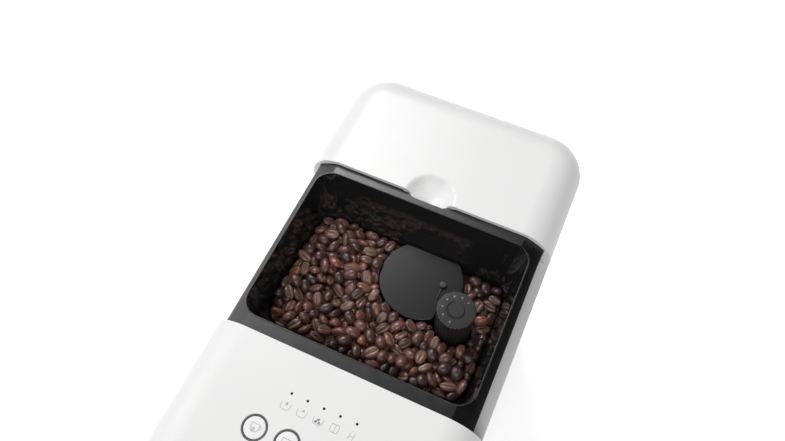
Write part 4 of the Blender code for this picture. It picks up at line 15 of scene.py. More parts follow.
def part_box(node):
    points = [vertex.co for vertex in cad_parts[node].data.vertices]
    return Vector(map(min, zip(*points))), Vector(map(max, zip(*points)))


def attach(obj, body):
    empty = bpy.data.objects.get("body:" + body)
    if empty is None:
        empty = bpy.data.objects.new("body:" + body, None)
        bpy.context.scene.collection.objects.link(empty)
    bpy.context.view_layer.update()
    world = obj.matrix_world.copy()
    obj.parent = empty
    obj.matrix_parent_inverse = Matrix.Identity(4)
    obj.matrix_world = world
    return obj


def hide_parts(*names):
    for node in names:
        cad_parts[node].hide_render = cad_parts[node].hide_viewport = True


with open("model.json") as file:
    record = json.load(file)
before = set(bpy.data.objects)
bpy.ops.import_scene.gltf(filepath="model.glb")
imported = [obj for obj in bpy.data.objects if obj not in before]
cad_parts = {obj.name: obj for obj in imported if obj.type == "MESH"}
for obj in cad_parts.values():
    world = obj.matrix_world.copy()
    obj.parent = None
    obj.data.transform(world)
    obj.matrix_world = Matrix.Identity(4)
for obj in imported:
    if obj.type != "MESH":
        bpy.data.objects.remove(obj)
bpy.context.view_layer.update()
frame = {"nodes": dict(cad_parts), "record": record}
nodes = frame["nodes"]


def low(node):
    """Lowest corner of a node of the frame."""
    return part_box(node)[0]


def high(node):
    """Highest corner of a node of the frame."""
    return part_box(node)[1]


def span(node):
    """Lowest corner, highest corner and middle of a node of the frame."""
    near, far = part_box(node)
    return near, far, (near + far) / 2


def middle(node):
    """Middle of a node of the frame."""
    return span(node)[2]


# Lines that the frame gives
HALF_WIDTH = high("rear_cover").x
TOP = high("rear_cover").z
REAR = high("rear_cover").y
SKIRT_BOTTOM = low("rear_cover").z
FRONT_SEAM = high("front_cover").y
FASCIA_FACE = low("front_fascia").y
FASCIA_TOP = high("front_fascia").z
HEAD_BOTTOM = low("front_fascia").z
SPLASH_FACE = low("splash_panel").y
BASE_TOP = high("base_plate").z
LEDGE_TOP = high("side_panel_left").z
SIDE_REAR = high("side_panel_left").y
FRAME_HALF_WIDTH = high("bean_hopper").x
LIP_TOP = high("bean_hopper").z
HOPPER_FRONT = low("bean_hopper").y

# Outer shell
COVER_WALL = 0.003
COVER_SHOULDER = 0.025
REAR_CORNER = 0.030
TONGUE_REACH = 0.0021
REAR_SEAM = low("rear_cover").y + TONGUE_REACH
CURVE_Z = FASCIA_TOP + 0.0003
FRONT_CURVE = TOP - CURVE_Z
CURVE_Y = FASCIA_FACE + FRONT_CURVE
PANEL_WALL = 0.003
HEAD_CORNER = 0.012
LEDGE_INSIDE = 0.079
LEDGE_THICK = 0.003
LEDGE_REACH = 0.004
SEAM_GAP = 0.0003
COVER_EDGE = 0.0007
PANEL_EDGE = 0.0006
FINE_EDGE = 0.0008

# Finger scoop and tongue
SCOOP_RADIUS = 0.0165
SCOOP_DEPTH = 0.0075
SCOOP_Y = REAR_SEAM + 0.0009
SCOOP_RIM = 0.0016
SCOOP_RIM_SHARE = 0.6
SCOOP_STEPS = 12
SCOOP_RIM_STEPS = 5
SCOOP_BLOCK_HALF = 0.0185
SCOOP_FLOOR = 0.003
TONGUE_HALF_WIDTH = 0.0155
TONGUE_CORNERS = (0.006, 0.006, PANEL_EDGE, PANEL_EDGE)
TONGUE_ROOT = 0.006
TONGUE_TOP = TOP - 0.0040
TONGUE_BOTTOM = TOP - 0.0105

# Hopper
FRAME_TOP = TOP - 0.0035
FRAME_WALL = 0.0022
FRAME_REAR = REAR_SEAM + 0.002
CREASE_X = 0.0686
SHOULDER_DROP = 0.0078
SHOULDER_START = 0.62
SHOULDER_EDGE = 0.0008
COVER_CLEARANCE = 0.0005
LIP_CREST = FRAME_TOP + 0.0003
LIP_HALF_WIDTH = 0.07705
LIP_FRONT = 0.00175
LIP_REAR = 0.11575
LIP_CORNER = 0.01245
LIP_THICK = 0.0009
LIP_ROUND = 0.0004
LIP_GLOSS = LIP_THICK * 0.6
LIP_ROOT = 0.006
BOWL_SLOPE_DEPTH = 0.032
BOWL_SIDE_SLOPE = 0.006
BOWL_FRONT_SLOPE = 0.007
BOWL_REAR_SLOPE = 0.0153
BOWL_FLOOR = LIP_TOP - 0.0525
BOWL_WALL = 0.002
BOWL_FILLET = 0.003
THROAT_RADIUS = 0.020
THROAT_WALL = 0.002
POST_RADIUS = 0.009
POST_BORE = 0.0042
POST_TOP = TOP - 0.0055 - 0.014
NOTCH_GAP = 0.0007
NOTCH_FRONT_GAP = 0.0005
NOTCH_BOTTOM = FRAME_TOP - 0.014
HOPPER_EDGE = 0.0003
HOPPER_ANGLE = 14

# Shape of a bean: angles of the points round it, and how much pale chaff colour each of them takes; the
# crease's floor keeps the bean's darker tone as painted shade
BEAN_LENGTH = 0.0104
BEAN_WIDTH = 0.0077
BEAN_DOME = 0.0034
BEAN_FLAT = 0.0018
BEAN_TAPER = 0.85
BEAN_RINGS = 8
BEAN_ANGLES = (0, 28, 58, 90, 122, 152, 180, 206, 236, 259, 270, 281, 304, 334)
CREASE_CHAFF_AND_SHADE = {270: 0.15, 259: 0.8, 281: 0.8, 236: 0.4, 304: 0.4}
CREASE_ANGLE = 270
CREASE_DEPTH = 0.85
CREASE_BEND = 0.0004

# Heap of beans: each one settles as a rod of three balls
BEAN_COUNT = 425
BEAN_BALL = 0.0031
BEAN_REACH = 0.0020
BEAN_FLOOR = 0.2945
BEAN_SEED = 11
BEAN_TILT = 0.35
BEAN_SKIN = 0.0004
BEAN_ROOM = 0.006
BEAN_NEAR = 0.004
POUR_HEIGHT = 0.022
POUR_ROUNDS = 160
BEAN_FALL = 0.0003
BEAN_GIVE = 0.7
PUSH_PASSES = 4
NEIGHBOUR_ROUNDS = 8
DISC_CLEARING = 0.0288
DOME_UP = 0.55
ROLL_SPREAD = 0.7
STRETCH_LOW = (0.88, 0.88, 0.85)
STRETCH_HIGH = (1.08, 1.1, 1.15)
TONE_SHAPE = (1.5, 2.2)
# The bed: a near-black sheet of painted shadow under the heap
BED_GAP = 0.0006
BED_BOTTOM = BOWL_FLOOR + 0.0012
BED_TOP = BEAN_FLOOR + 0.001
BED_CLEARINGS = (("adjust_ring", 0.0292), ("grind_knob", 0.0134))
BED_CUT = 0.01

# Colours of the beans by their tone, which runs from 0 to 1
BEAN_TONES = ((0.0, (0.030, 0.014, 0.013)), (0.25, (0.064, 0.026, 0.024)), (0.5, (0.105, 0.040, 0.034)),
              (0.75, (0.165, 0.058, 0.042)), (1.0, (0.265, 0.092, 0.048)))
CREASE_COLOUR = (0.20, 0.105, 0.062, 1)
SPECK_DARK = (0.36, 0.36, 0.38)
SPECK_PALE = (1.55, 1.46, 1.38)

# Camera, solved from the photograph
CAMERA_PLACE = (0.07364, -0.0994, 0.7313)
CAMERA_AIM = (-0.1983, 0.4373, -0.8772)
CAMERA_LENS = 31.09
CAMERA_SENSOR = 36.0
CAMERA_NEAR = 0.01

# Lamps: name, place, width and depth in metres, power in watts
LAMPS = (
    ("key_lamp", (-0.9, 1.05, 1.78), 0.95, 0.95, 20.0),
    ("front_lamp", (0.5, -1.2, 1.9), 1.6, 1.6, 19.0),
    ("left_lamp", (-1.25, -0.3, 1.3), 1.4, 1.0, 5.0),
)
LAMP_AIM = (0, 0.05, 0.3)

# Light of the surroundings, how much of it shows in gloss, and how much brighter that is on the left
WORLD_LIGHT = 0.29
WORLD_GLOSS = 0.06
GLOSS_RATIO = 20.0
FLOOR_GLOW = 0.45
FLOOR_SIZE = 4.0
FLOOR_COLOUR = (0.9, 0.9, 0.9)
FLOOR_ROUGHNESS = 0.9

# Steps of a round edge or corner, from the finest to the shell's
FINE_STEPS = 5
EDGE_STEPS = 6
BEND_STEPS = 8
CORNER_STEPS = 14
LEDGE_CURVE_STEPS = 30
FRONT_CURVE_STEPS = 40

# Steps of a full circle
TINY_STEPS = 32
SMALL_STEPS = 48
ROUND_STEPS = 64
WIDE_STEPS = 96

# Angles in degrees above which an edge is sharp, and steps of a bevel
SHARP_ANGLE = 32
MIDDLE_ANGLE = 40
BLUNT_ANGLE = 50
COVER_ANGLE = 28
DOOR_ANGLE = 12
BEVEL_STEPS = 3
FEW_STEPS = 2

# Distances within which points of a mesh are one, and the angle within which its faces are
SAME_PLACE = 1e-6
SLIVER_WIDTH = 0.00002
SLIVER_EDGE = 0.00001
SAME_PLANE = 0.1


# Shapes

def link(name, mesh):
    """A new object in the scene."""
    thing = bpy.data.objects.new(name, mesh)
    bpy.context.scene.collection.objects.link(thing)
    return thing


def from_bmesh(name, shape):
    """An object from a finished bmesh, its faces turned outward."""
    bmesh.ops.recalc_face_normals(shape, faces=shape.faces)
    mesh = bpy.data.meshes.new(name)
    shape.to_mesh(mesh)
    shape.free()
    return link(name, mesh)


def around(centre, radius, angle):
    """The point at an angle in degrees on a circle."""
    turn = math.radians(angle)
    return centre[0] + radius * math.cos(turn), centre[1] + radius * math.sin(turn)


def arc(centre, radius, start, end, steps=CORNER_STEPS):
    """Points on an arc, angles in degrees, both ends included."""
    return [around(centre, radius, start + (end - start) * step / steps) for step in range(steps + 1)]


def circle(centre, radius, steps=ROUND_STEPS):
    """Points of a full circle."""
    return arc(centre, radius, 0, 360, steps)[:-1]


def round_rectangle(near, far, corners, steps=CORNER_STEPS):
    """Outline of a rectangle; corners is one radius, or those at its (-,-), (+,-), (+,+), (-,+) corners."""
    if isinstance(corners, float):
        corners = (corners,) * 4
    places = ((near[0], near[1], 1, 1, 180), (far[0], near[1], -1, 1, 270),
              (far[0], far[1], -1, -1, 0), (near[0], far[1], 1, -1, 90))
    points = []
    for (x, y, side_x, side_y, start), radius in zip(places, corners):
        points += arc((x + side_x * radius, y + side_y * radius), radius, start, start + 90, steps)
    return points


def slot_outline(half_length, radius, steps=BEND_STEPS):
    """A slot with round ends round the origin."""
    right = arc((half_length - radius, 0), radius, -90, 90, steps)
    return right + arc((radius - half_length, 0), radius, 90, 270, steps)


def mirrored(half):
    """Whole outline from its right half."""
    return half + [(-x, y) for x, y in reversed(half)]


def leaned(points, lean):
    """Points turned round the origin by an angle in radians."""
    cosine = math.cos(lean)
    sine = math.sin(lean)
    return [(x * cosine - y * sine, x * sine + y * cosine) for x, y in points]


def bridge(shape, near, far, closed=True):
    """Faces between two rows of vertices."""
    count = len(near)
    for index in range(count if closed else count - 1):
        after = (index + 1) % count
        shape.faces.new((near[index], near[after], far[after], far[index]))


def loft(name, loops):
    """Closed solid through closed loops of equal length."""
    shape = bmesh.new()
    rings = [[shape.verts.new(point) for point in loop] for loop in loops]
    for near, far in zip(rings, rings[1:]):
        bridge(shape, near, far)
    shape.faces.new(rings[0])
    shape.faces.new(rings[-1])
    return from_bmesh(name, shape)


def shell(name, outer, inner):
    """Solid between two grids of points with the same rows and columns."""
    shape = bmesh.new()
    skins = [[[shape.verts.new(point) for point in row] for row in grid] for grid in (outer, inner)]
    for skin in skins:
        for near, far in zip(skin, skin[1:]):
            bridge(shape, near, far, closed=False)
    out, inside = skins
    bridge(shape, out[0], inside[0], closed=False)
    bridge(shape, out[-1], inside[-1], closed=False)
    for column in (0, -1):
        bridge(shape, [row[column] for row in out], [row[column] for row in inside], closed=False)
    return from_bmesh(name, shape)


def revolve(name, centre, profile, steps=ROUND_STEPS):
    """Upright turned solid; the profile runs from axis to axis, or round and back to its start."""
    shape = bmesh.new()
    rings = []
    for radius, height in profile:
        if radius == 0:
            rings.append([shape.verts.new((0, 0, height))])
        else:
            rings.append([shape.verts.new((x, y, height)) for x, y in circle((0, 0), radius, steps)])
    pairs = list(zip(rings, rings[1:]))
    if len(rings[0]) > 1:
        pairs.append((rings[-1], rings[0]))
    for near, far in pairs:
        for index in range(steps):
            after = (index + 1) % steps
            corners = [ring[spot % len(ring)] for ring, spot in ((near, index), (near, after), (far, after),
                                                                 (far, index))]
            shape.faces.new(tuple(dict.fromkeys(corners)))
    made = from_bmesh(name, shape)
    made.data.transform(Matrix.Translation((centre[0], centre[1], 0)))
    return made


AXIS_TURNS = {
    "Z": Matrix.Identity(4),
    "X": Matrix(((0, 0, 1, 0), (1, 0, 0, 0), (0, 1, 0, 0), (0, 0, 0, 1))),
    "Y": Matrix(((1, 0, 0, 0), (0, 0, 1, 0), (0, 1, 0, 0), (0, 0, 0, 1))),
}


def plate(name, outline, near, far, axis="Z", holes=()):
    """A flat outline with holes, thick along one axis from near to far."""
    curve = bpy.data.curves.new(name, "CURVE")
    curve.dimensions = "2D"
    curve.fill_mode = "BOTH"
    curve.extrude = (far - near) / 2
    for points in (outline, *holes):
        spline = curve.splines.new("POLY")
        spline.points.add(len(points) - 1)
        for target, (u, v) in zip(spline.points, points):
            target.co = (u, v, 0, 1)
        spline.use_cyclic_u = True
    holder = link(name + "_outline", curve)
    mesh = bpy.data.meshes.new_from_object(holder)
    bpy.data.objects.remove(holder)
    mesh.transform(AXIS_TURNS[axis] @ Matrix.Translation((0, 0, (near + far) / 2)))
    shape = bmesh.new()
    shape.from_mesh(mesh)
    bmesh.ops.remove_doubles(shape, verts=shape.verts, dist=SAME_PLACE)
    bmesh.ops.dissolve_limit(shape, angle_limit=math.radians(SAME_PLANE), verts=shape.verts,
                             edges=shape.edges)
    return from_bmesh(name, shape)


def block(name, near, far):
    """A box between two corners."""
    size = Vector(far) - Vector(near)
    middle = (Vector(far) + Vector(near)) / 2
    shape = bmesh.new()
    bmesh.ops.create_cube(shape, size=1.0, matrix=Matrix.Translation(middle) @ Matrix.Diagonal((*size, 1.0)))
    return from_bmesh(name, shape)


def drum(name, centre, radius, bottom, top, steps=ROUND_STEPS):
    """An upright cylinder."""
    return revolve(name, centre, [(0, bottom), (radius, bottom), (radius, top), (0, top)], steps)


def bake(thing):
    """Turns a piece's modifiers into plain mesh."""
    shown = thing.evaluated_get(bpy.context.evaluated_depsgraph_get())
    mesh = bpy.data.meshes.new_from_object(shown)
    thing.modifiers.clear()
    thing.data = mesh
    return thing


def combine(target, tool, operation):
    """Shapes the target with the tool, which is used up."""
    change = target.modifiers.new("combine", "BOOLEAN")
    change.operation = operation
    change.object = tool
    change.solver = "EXACT"
    bake(target)
    bpy.data.objects.remove(tool)
    return target


def merge_close(thing):
    """Closes the slivers that two flush cuts leave."""
    shape = bmesh.new()
    shape.from_mesh(thing.data)
    bmesh.ops.remove_doubles(shape, verts=shape.verts, dist=SLIVER_WIDTH)
    bmesh.ops.dissolve_degenerate(shape, edges=shape.edges, dist=SLIVER_EDGE)
    shape.to_mesh(thing.data)
    shape.free()


def cut(target, tool):
    """Takes the tool's shape out of the target."""
    return combine(target, tool, "DIFFERENCE")


def join(target, tool):
    """Adds the tool's shape to the target."""
    return combine(target, tool, "UNION")


def smooth(thing, angle=SHARP_ANGLE):
    """Smooth light over round faces, sharp at edges above an angle in degrees."""
    thing.data.shade_smooth()
    thing.data.set_sharp_from_angle(angle=math.radians(angle))
    return thing


def soften(thing, width, steps=BEVEL_STEPS, angle=SHARP_ANGLE):
    """Rounds the edges above an angle in degrees and keeps flat faces flat to the light."""
    edge = thing.modifiers.new("edge_round", "BEVEL")
    edge.width = width
    edge.segments = steps
    edge.limit_method = "ANGLE"
    edge.angle_limit = math.radians(angle)
    edge.use_clamp_overlap = True
    weight = thing.modifiers.new("face_weight", "WEIGHTED_NORMAL")
    weight.keep_sharp = True
    return thing


def place(thing, body, slot, *replaced, look=None):
    """Gives a piece its finish, which is its slot's unless look names another, the body it rides on and
    the nodes it stands for."""
    thing.data.materials.clear()
    thing.data.materials.append(finish(look or slot))
    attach(thing, body)
    if replaced:
        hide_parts(*replaced)
    return thing


# Trees of nodes

def wire(tree, node, inputs):
    """Sets the named inputs of a node: a socket is linked, anything else is the value."""
    for name, value in inputs.items():
        if isinstance(value, bpy.types.NodeSocket):
            tree.links.new(value, node.inputs[name])
        else:
            node.inputs[name].default_value = value


def add(tree, kind, inputs=None, **settings):
    """A new node with its settings and inputs."""
    made = tree.nodes.new(kind)
    for name, value in settings.items():
        setattr(made, name, value)
    wire(tree, made, inputs or {})
    return made


def number(tree, operation, first, second):
    """A Math node on two values or sockets."""
    return add(tree, "ShaderNodeMath", {0: first, 1: second}, operation=operation).outputs[0]


def mixed(tree, share, first, second, blend="MIX"):
    """Mixes two colours by a share."""
    return add(tree, "ShaderNodeMix", {"Factor": share, "A": first, "B": second}, data_type="RGBA",
               blend_type=blend).outputs["Result"]


def noise(tree, where, scale, detail=3.0, roughness=0.5):
    """Noise of a scale in features per metre."""
    return add(tree, "ShaderNodeTexNoise", {"Vector": where, "Scale": scale, "Detail": detail,
                                            "Roughness": roughness}).outputs["Fac"]


def spread(tree, value, low_out, high_out):
    """Maps noise, most of which lies between 0.3 and 0.7, to a range."""
    return add(tree, "ShaderNodeMapRange", {"Value": value, "From Min": 0.3, "From Max": 0.7,
                                            "To Min": low_out, "To Max": high_out}).outputs["Result"]


def tinted(tree, value, dark, pale):
    """Mixes two plain colours by noise."""
    return mixed(tree, value, (*dark, 1.0), (*pale, 1.0))


def bumped(tree, shader, value, strength, distance):
    """Raises the surface by a value."""
    bump = add(tree, "ShaderNodeBump", {"Height": value, "Strength": strength, "Distance": distance})
    wire(tree, shader, {"Normal": bump.outputs["Normal"]})


def growing_tree(name, inputs):
    """A new Geometry Nodes tree with named inputs: the tree, its inputs' sockets and their identifiers."""
    tree = bpy.data.node_groups.new(name, "GeometryNodeTree")
    face = tree.interface
    face.new_socket("Geometry", in_out="INPUT", socket_type="NodeSocketGeometry")
    keys = {}
    for label, kind in inputs.items():
        keys[label] = face.new_socket(label, in_out="INPUT", socket_type="NodeSocket" + kind).identifier
    face.new_socket("Geometry", in_out="OUTPUT", socket_type="NodeSocketGeometry")
    return tree, add(tree, "NodeGroupInput").outputs, keys


def end_tree(tree, copies, coat):
    """Makes the copies real, gives them their finish and sends them out."""
    real = add(tree, "GeometryNodeRealizeInstances", {"Geometry": copies.outputs["Instances"]})
    coated = add(tree, "GeometryNodeSetMaterial", {"Geometry": real.outputs["Geometry"], "Material": coat})
    add(tree, "NodeGroupOutput", {"Geometry": coated.outputs["Geometry"]})


def grown(name, mesh, tree, keys, inputs):
    """The plain mesh that a tree grows from a mesh; the shape that it copies is used up."""
    holder = link(name, mesh)
    growth = holder.modifiers.new("growth", "NODES")
    growth.node_group = tree
    for label, value in inputs.items():
        growth[keys[label]] = value
    bake(holder)
    bpy.data.objects.remove(inputs["Shape"])
    return holder


# Finishes

COAT_ROUGHNESS = 0.08
CLOUD_SCALE = 18.0
WEAR_SCALE = 140.0
BRUSH_SCALE = 900.0
BRUSH_STRETCH = (0.03, 1.0, 1.0)
FINISHES = {}


def surface(name, colour, roughness, metallic=0.0, coat=0.0, specular=0.5):
    """A Principled material with object coordinates at hand."""
    made = bpy.data.materials.new(name)
    made.use_nodes = True
    tree = made.node_tree
    shader = tree.nodes["Principled BSDF"]
    wire(tree, shader, {"Base Color": (*colour, 1.0), "Roughness": roughness, "Metallic": metallic,
                        "Coat Weight": coat, "Coat Roughness": COAT_ROUGHNESS,
                        "Specular IOR Level": specular})
    return made, tree, shader, add(tree, "ShaderNodeTexCoord").outputs["Object"]


def moulded(name, colour, roughness, shade=0.04, grain=2500.0, depth=0.00001, specular=0.5, uneven=0.1):
    """Moulded plastic: faint cloudy tone, uneven gloss and a fine grain."""
    made, tree, shader, where = surface(name, colour, roughness, specular=specular)
    pale = tuple(min(channel * (1 + shade), 1.0) for channel in colour)
    dark = tuple(channel * (1 - shade) for channel in colour)
    cloud = spread(tree, noise(tree, where, CLOUD_SCALE), 0.0, 1.0)
    wear = noise(tree, where, WEAR_SCALE, 4.0)
    wire(tree, shader, {"Base Color": tinted(tree, cloud, dark, pale),
                        "Roughness": spread(tree, wear, roughness * (1 - uneven), roughness * (1 + uneven))})
    bumped(tree, shader, noise(tree, where, grain, 2.0), 0.25, depth)
    return made


def brushed(name, colour, roughness):
    """Metal with fine lines along X."""
    made, tree, shader, where = surface(name, colour, roughness, metallic=1.0)
    drawn = add(tree, "ShaderNodeMapping", {"Vector": where, "Scale": BRUSH_STRETCH}).outputs["Vector"]
    lines = noise(tree, drawn, BRUSH_SCALE, 4.0, 0.6)
    dark = tuple(channel * 0.92 for channel in colour)
    wire(tree, shader, {"Base Color": tinted(tree, noise(tree, where, 60.0), dark, colour),
                        "Roughness": spread(tree, lines, roughness * 0.7, roughness * 1.3)})
    bumped(tree, shader, lines, 0.15, 0.00001)
    return made


def circuit_board(name):
    """Green board with faint copper runs."""
    made, tree, shader, where = surface(name, (0.02, 0.14, 0.06), 0.35, coat=0.3)
    runs = add(tree, "ShaderNodeTexBrick", {
        "Vector": where, "Scale": 220.0, "Mortar Size": 0.03, "Color1": (0.015, 0.12, 0.05, 1),
        "Color2": (0.03, 0.17, 0.07, 1), "Mortar": (0.08, 0.22, 0.08, 1)})
    wire(tree, shader, {"Base Color": runs.outputs["Color"]})
    bumped(tree, shader, noise(tree, where, 800.0), 0.2, 0.00002)
    return made


def clear_plastic(name):
    """Smoky clear plastic."""
    made, tree, shader, where = surface(name, (0.80, 0.83, 0.85), 0.08)
    haze = spread(tree, noise(tree, where, 60.0, 4.0), 0.05, 0.14)
    wire(tree, shader, {"Transmission Weight": 0.9, "IOR": 1.49, "Roughness": haze})
    bumped(tree, shader, noise(tree, where, 400.0), 0.1, 0.00001)
    return made


def roasted(name):
    """Roasted coffee: each bean has its own tone, a paler crease whose floor stays dark as painted shade, and
    an uneven oily sheen.
    """
    made, tree, shader, where = surface(name, (0.08, 0.025, 0.015), 0.45, coat=0.8)
    tone = add(tree, "ShaderNodeAttribute", attribute_name="tone")
    ramp = add(tree, "ShaderNodeValToRGB", {"Fac": tone.outputs["Fac"]})
    stops = ramp.color_ramp.elements
    for stop, (share, colour) in zip(stops, (BEAN_TONES[0], BEAN_TONES[-1])):
        stop.position = share
        stop.color = (*colour, 1)
    for share, colour in BEAN_TONES[1:-1]:
        stops.new(share).color = (*colour, 1)
    speck = tinted(tree, spread(tree, noise(tree, where, 600.0, 4.0, 0.65), 0.0, 1.0), SPECK_DARK, SPECK_PALE)
    blotched = mixed(tree, 0.8, ramp.outputs["Color"], speck, "MULTIPLY")
    crease = add(tree, "ShaderNodeAttribute", attribute_name="crease")
    oil = spread(tree, noise(tree, where, 350.0), 0.36, 0.6)
    wire(tree, shader, {"Base Color": mixed(tree, crease.outputs["Fac"], blotched, CREASE_COLOUR),
                        "Roughness": oil, "Coat Roughness": 0.19})
    bumped(tree, shader, noise(tree, where, 1300.0, 4.0, 0.6), 0.7, 0.00018)
    return made


# How each finish is made. Moulded ones: colour, roughness, shade of the cloud, grain per metre, its depth,
# specular level, unevenness of the gloss. Brushed ones: colour, roughness
MAKERS = {
    "white_gloss": (moulded, (0.83, 0.83, 0.825), 0.32, 0.006, 3000.0, 0.000004),
    "white_satin": (moulded, (0.82, 0.82, 0.815), 0.42, 0.008, 2600.0, 0.000008),
    "white_button": (moulded, (0.85, 0.85, 0.845), 0.35, 0.006, 3000.0, 0.000004),
    "black_gloss": (moulded, (0.010, 0.010, 0.0103), 0.08, 0.05, 1800.0, 0.000001, 1.0),
    "frame_black": (moulded, (0.004, 0.004, 0.0042), 0.35, 0.05, 1800.0, 0.000004, 1.0),
    "black_satin": (moulded, (0.022, 0.022, 0.023), 0.40, 0.06, 2200.0, 0.00001),
    "dark_grey": (moulded, (0.009, 0.009, 0.009), 0.30, 0.02, 2400.0, 0.000001, 0.5, 0.03),
    "knob_grey": (moulded, (0.028, 0.028, 0.0285), 0.38, 0.04, 2400.0, 0.000006),
    "grey_plastic": (moulded, (0.20, 0.20, 0.20), 0.5),
    "gear_plastic": (moulded, (0.62, 0.58, 0.48), 0.45),
    "rubber": (moulded, (0.02, 0.02, 0.02), 0.75, 0.1, 1500.0, 0.00003),
    "silicone": (moulded, (0.70, 0.70, 0.68), 0.5, 0.03),
    "red_float": (moulded, (0.55, 0.03, 0.02), 0.4),
    "ring_grey": (moulded, (0.115, 0.115, 0.115), 0.4, 0.02),
    "light_black": (moulded, (0.004, 0.004, 0.004), 0.25, 0.02),
    "print_grey": (moulded, (0.42, 0.42, 0.42), 0.5, 0.02),
    "mark_grey": (moulded, (0.30, 0.30, 0.30), 0.4, 0.02),
    "pin_grey": (moulded, (0.055, 0.055, 0.055), 0.35, 0.02),
    "bean_shadow": (moulded, (0.02, 0.008, 0.005), 0.7, 0.3, 300.0, 0.0003),
    "steel": (brushed, (0.60, 0.60, 0.59), 0.28),
    "motor_steel": (brushed, (0.42, 0.42, 0.42), 0.38),
    "aluminium": (brushed, (0.55, 0.55, 0.56), 0.42),
    "board": (circuit_board,),
    "clear_tank": (clear_plastic,),
    "roasted_beans": (roasted,),
}


def finish(name):
    """The finish of that name, made once."""
    if name not in FINISHES:
        maker, *values = MAKERS[name]
        FINISHES[name] = maker(name, *values)
    return FINISHES[name]


# Covers, and the holes of the control panel in the front one

BUTTON_BODIES = {
    "button_small_cup": "small_cup_button",
    "button_large_cup": "large_cup_button",
    "button_strength": "strength_button",
    "button_power": "power_button",
}
RING_RADIUS = 0.00724
RING_STROKE = 0.001
RING_INSIDE = RING_RADIUS - RING_STROKE / 2
RING_OUTSIDE = RING_RADIUS + RING_STROKE / 2
RING_FIT = 0.00005
LIGHT_COUNT = 5
LIGHT_PITCH = 0.0105
LIGHT_RADIUS = 0.00075
LIGHT_FIT = 0.0001
LIGHT_STEPS = 24
DOOR_CORNER = 0.008
DOOR_GAP = 0.0005
DOOR_RIM = 0.002
GRIP_RADIUS = 0.012
GRIP_DEPTH = 0.0018
GRIP_ROUND_STEPS = 96
GRIP_RISE_STEPS = 160


def tunnel_section(half, shoulder, skirt):
    """Half-tunnel outline as (x, depth below the crown), from the right edge to the left edge."""
    bend = arc((half - shoulder, -shoulder), shoulder, 0, 90)
    return mirrored([(half, skirt)] + [(x, -y) for x, y in bend])


def swept(section, path, inset=0.0):
    """Rows of points of a section carried along (y, z, normal y, normal z) stations."""
    return [[(x, y - normal_y * (depth + inset), z - normal_z * (depth + inset)) for x, depth in section]
            for y, z, normal_y, normal_z in path]


def tunnel_shell(name, path, skirt):
    """Shell of even wall with a half-tunnel section, as wide as the machine."""
    outer = tunnel_section(HALF_WIDTH, COVER_SHOULDER, skirt)
    inner = tunnel_section(HALF_WIDTH - COVER_WALL, COVER_SHOULDER - COVER_WALL, skirt - COVER_WALL)
    return shell(name, swept(outer, path), swept(inner, path, COVER_WALL))


def light_places():
    """Centres of the five lights, left to right."""
    centre = middle("indicator_light_guide")
    return [((index - LIGHT_COUNT // 2) * LIGHT_PITCH, centre.y) for index in range(LIGHT_COUNT)]


def make_front_cover():
    """White shell that rolls forward over the panel, with holes for the lights and buttons."""
    path = [(FRONT_SEAM, TOP, 0, 1)]
    for y, z in arc((CURVE_Y, CURVE_Z), FRONT_CURVE, 90, 180, FRONT_CURVE_STEPS):
        path.append((y, z, (y - CURVE_Y) / FRONT_CURVE, (z - CURVE_Z) / FRONT_CURVE))
    cover = tunnel_shell("front_cover_shell", path, TOP - SKIRT_BOTTOM)
    bottom = TOP - COVER_WALL * 2
    top = TOP + COVER_WALL * 2
    for node in BUTTON_BODIES:
        cut(cover, drum("hole", middle(node), RING_OUTSIDE + RING_FIT, bottom, top))
    for centre in light_places():
        cut(cover, drum("hole", centre, LIGHT_RADIUS + LIGHT_FIT, bottom, top, LIGHT_STEPS))
    soften(smooth(cover), COVER_EDGE)
    place(cover, "machine", "white_gloss", "front_cover")


def rear_loop(inset, z, front):
    """Plan of the rear cover at a height, moved inward by an inset."""
    half = HALF_WIDTH - inset
    radius = REAR_CORNER - inset
    corner = arc((half - radius, REAR - inset - radius), radius, 0, 90)
    return [(x, y, z) for x, y in mirrored([(half, front)] + corner)]


def scoop_profile():
    """Bowl of the finger scoop with a softly rounded rim, as (radius, height)."""
    ball = (SCOOP_RADIUS ** 2 + SCOOP_DEPTH ** 2) / (2 * SCOOP_DEPTH)
    centre = TOP - SCOOP_DEPTH + ball
    edge = math.degrees(math.asin((SCOOP_RADIUS - SCOOP_RIM * SCOOP_RIM_SHARE) / ball))
    points = [(0, TOP - SCOOP_DEPTH)]
    for step in range(1, SCOOP_STEPS + 1):
        angle = math.radians(edge * step / SCOOP_STEPS)
        points.append((ball * math.sin(angle), centre - ball * math.cos(angle)))
    radius, height = points[-1]
    top_radius = SCOOP_RADIUS + SCOOP_RIM
    for step in range(1, SCOOP_RIM_STEPS + 1):
        share = step / SCOOP_RIM_STEPS
        near = radius + (top_radius - radius) * share
        rise = (TOP - height) * (1 - (1 - share) ** 2)
        points.append((near, height + rise))
    return points + [(top_radius, TOP + COVER_WALL), (0, TOP + COVER_WALL)]


def frame_edge(grow=0.0):
    """Right half of the hopper frame's section from the ledge up to its crease, moved outward."""
    reach = FRAME_HALF_WIDTH - SHOULDER_EDGE - CREASE_X
    outward = SHOULDER_EDGE + grow
    side = FRAME_HALF_WIDTH + grow
    bend = []
    for step in range(CORNER_STEPS + 1):
        share = 1 - step / CORNER_STEPS
        fall = SHOULDER_DROP * (SHOULDER_START * share + (1 - SHOULDER_START) * share ** 2)
        slope = SHOULDER_DROP / reach * (SHOULDER_START + 2 * (1 - SHOULDER_START) * share)
        bend.append((CREASE_X + reach * share, FRAME_TOP - SHOULDER_EDGE - fall, math.atan2(1, slope)))
    points = [(side, LEDGE_TOP + SEAM_GAP)] + arc(bend[0][:2], outward, 0, math.degrees(bend[0][2]),
                                                           FINE_STEPS)
    points += [(x + outward * math.cos(turn), z + outward * math.sin(turn)) for x, z, turn in bend[1:]]
    return points + [(CREASE_X, FRAME_TOP + grow)]


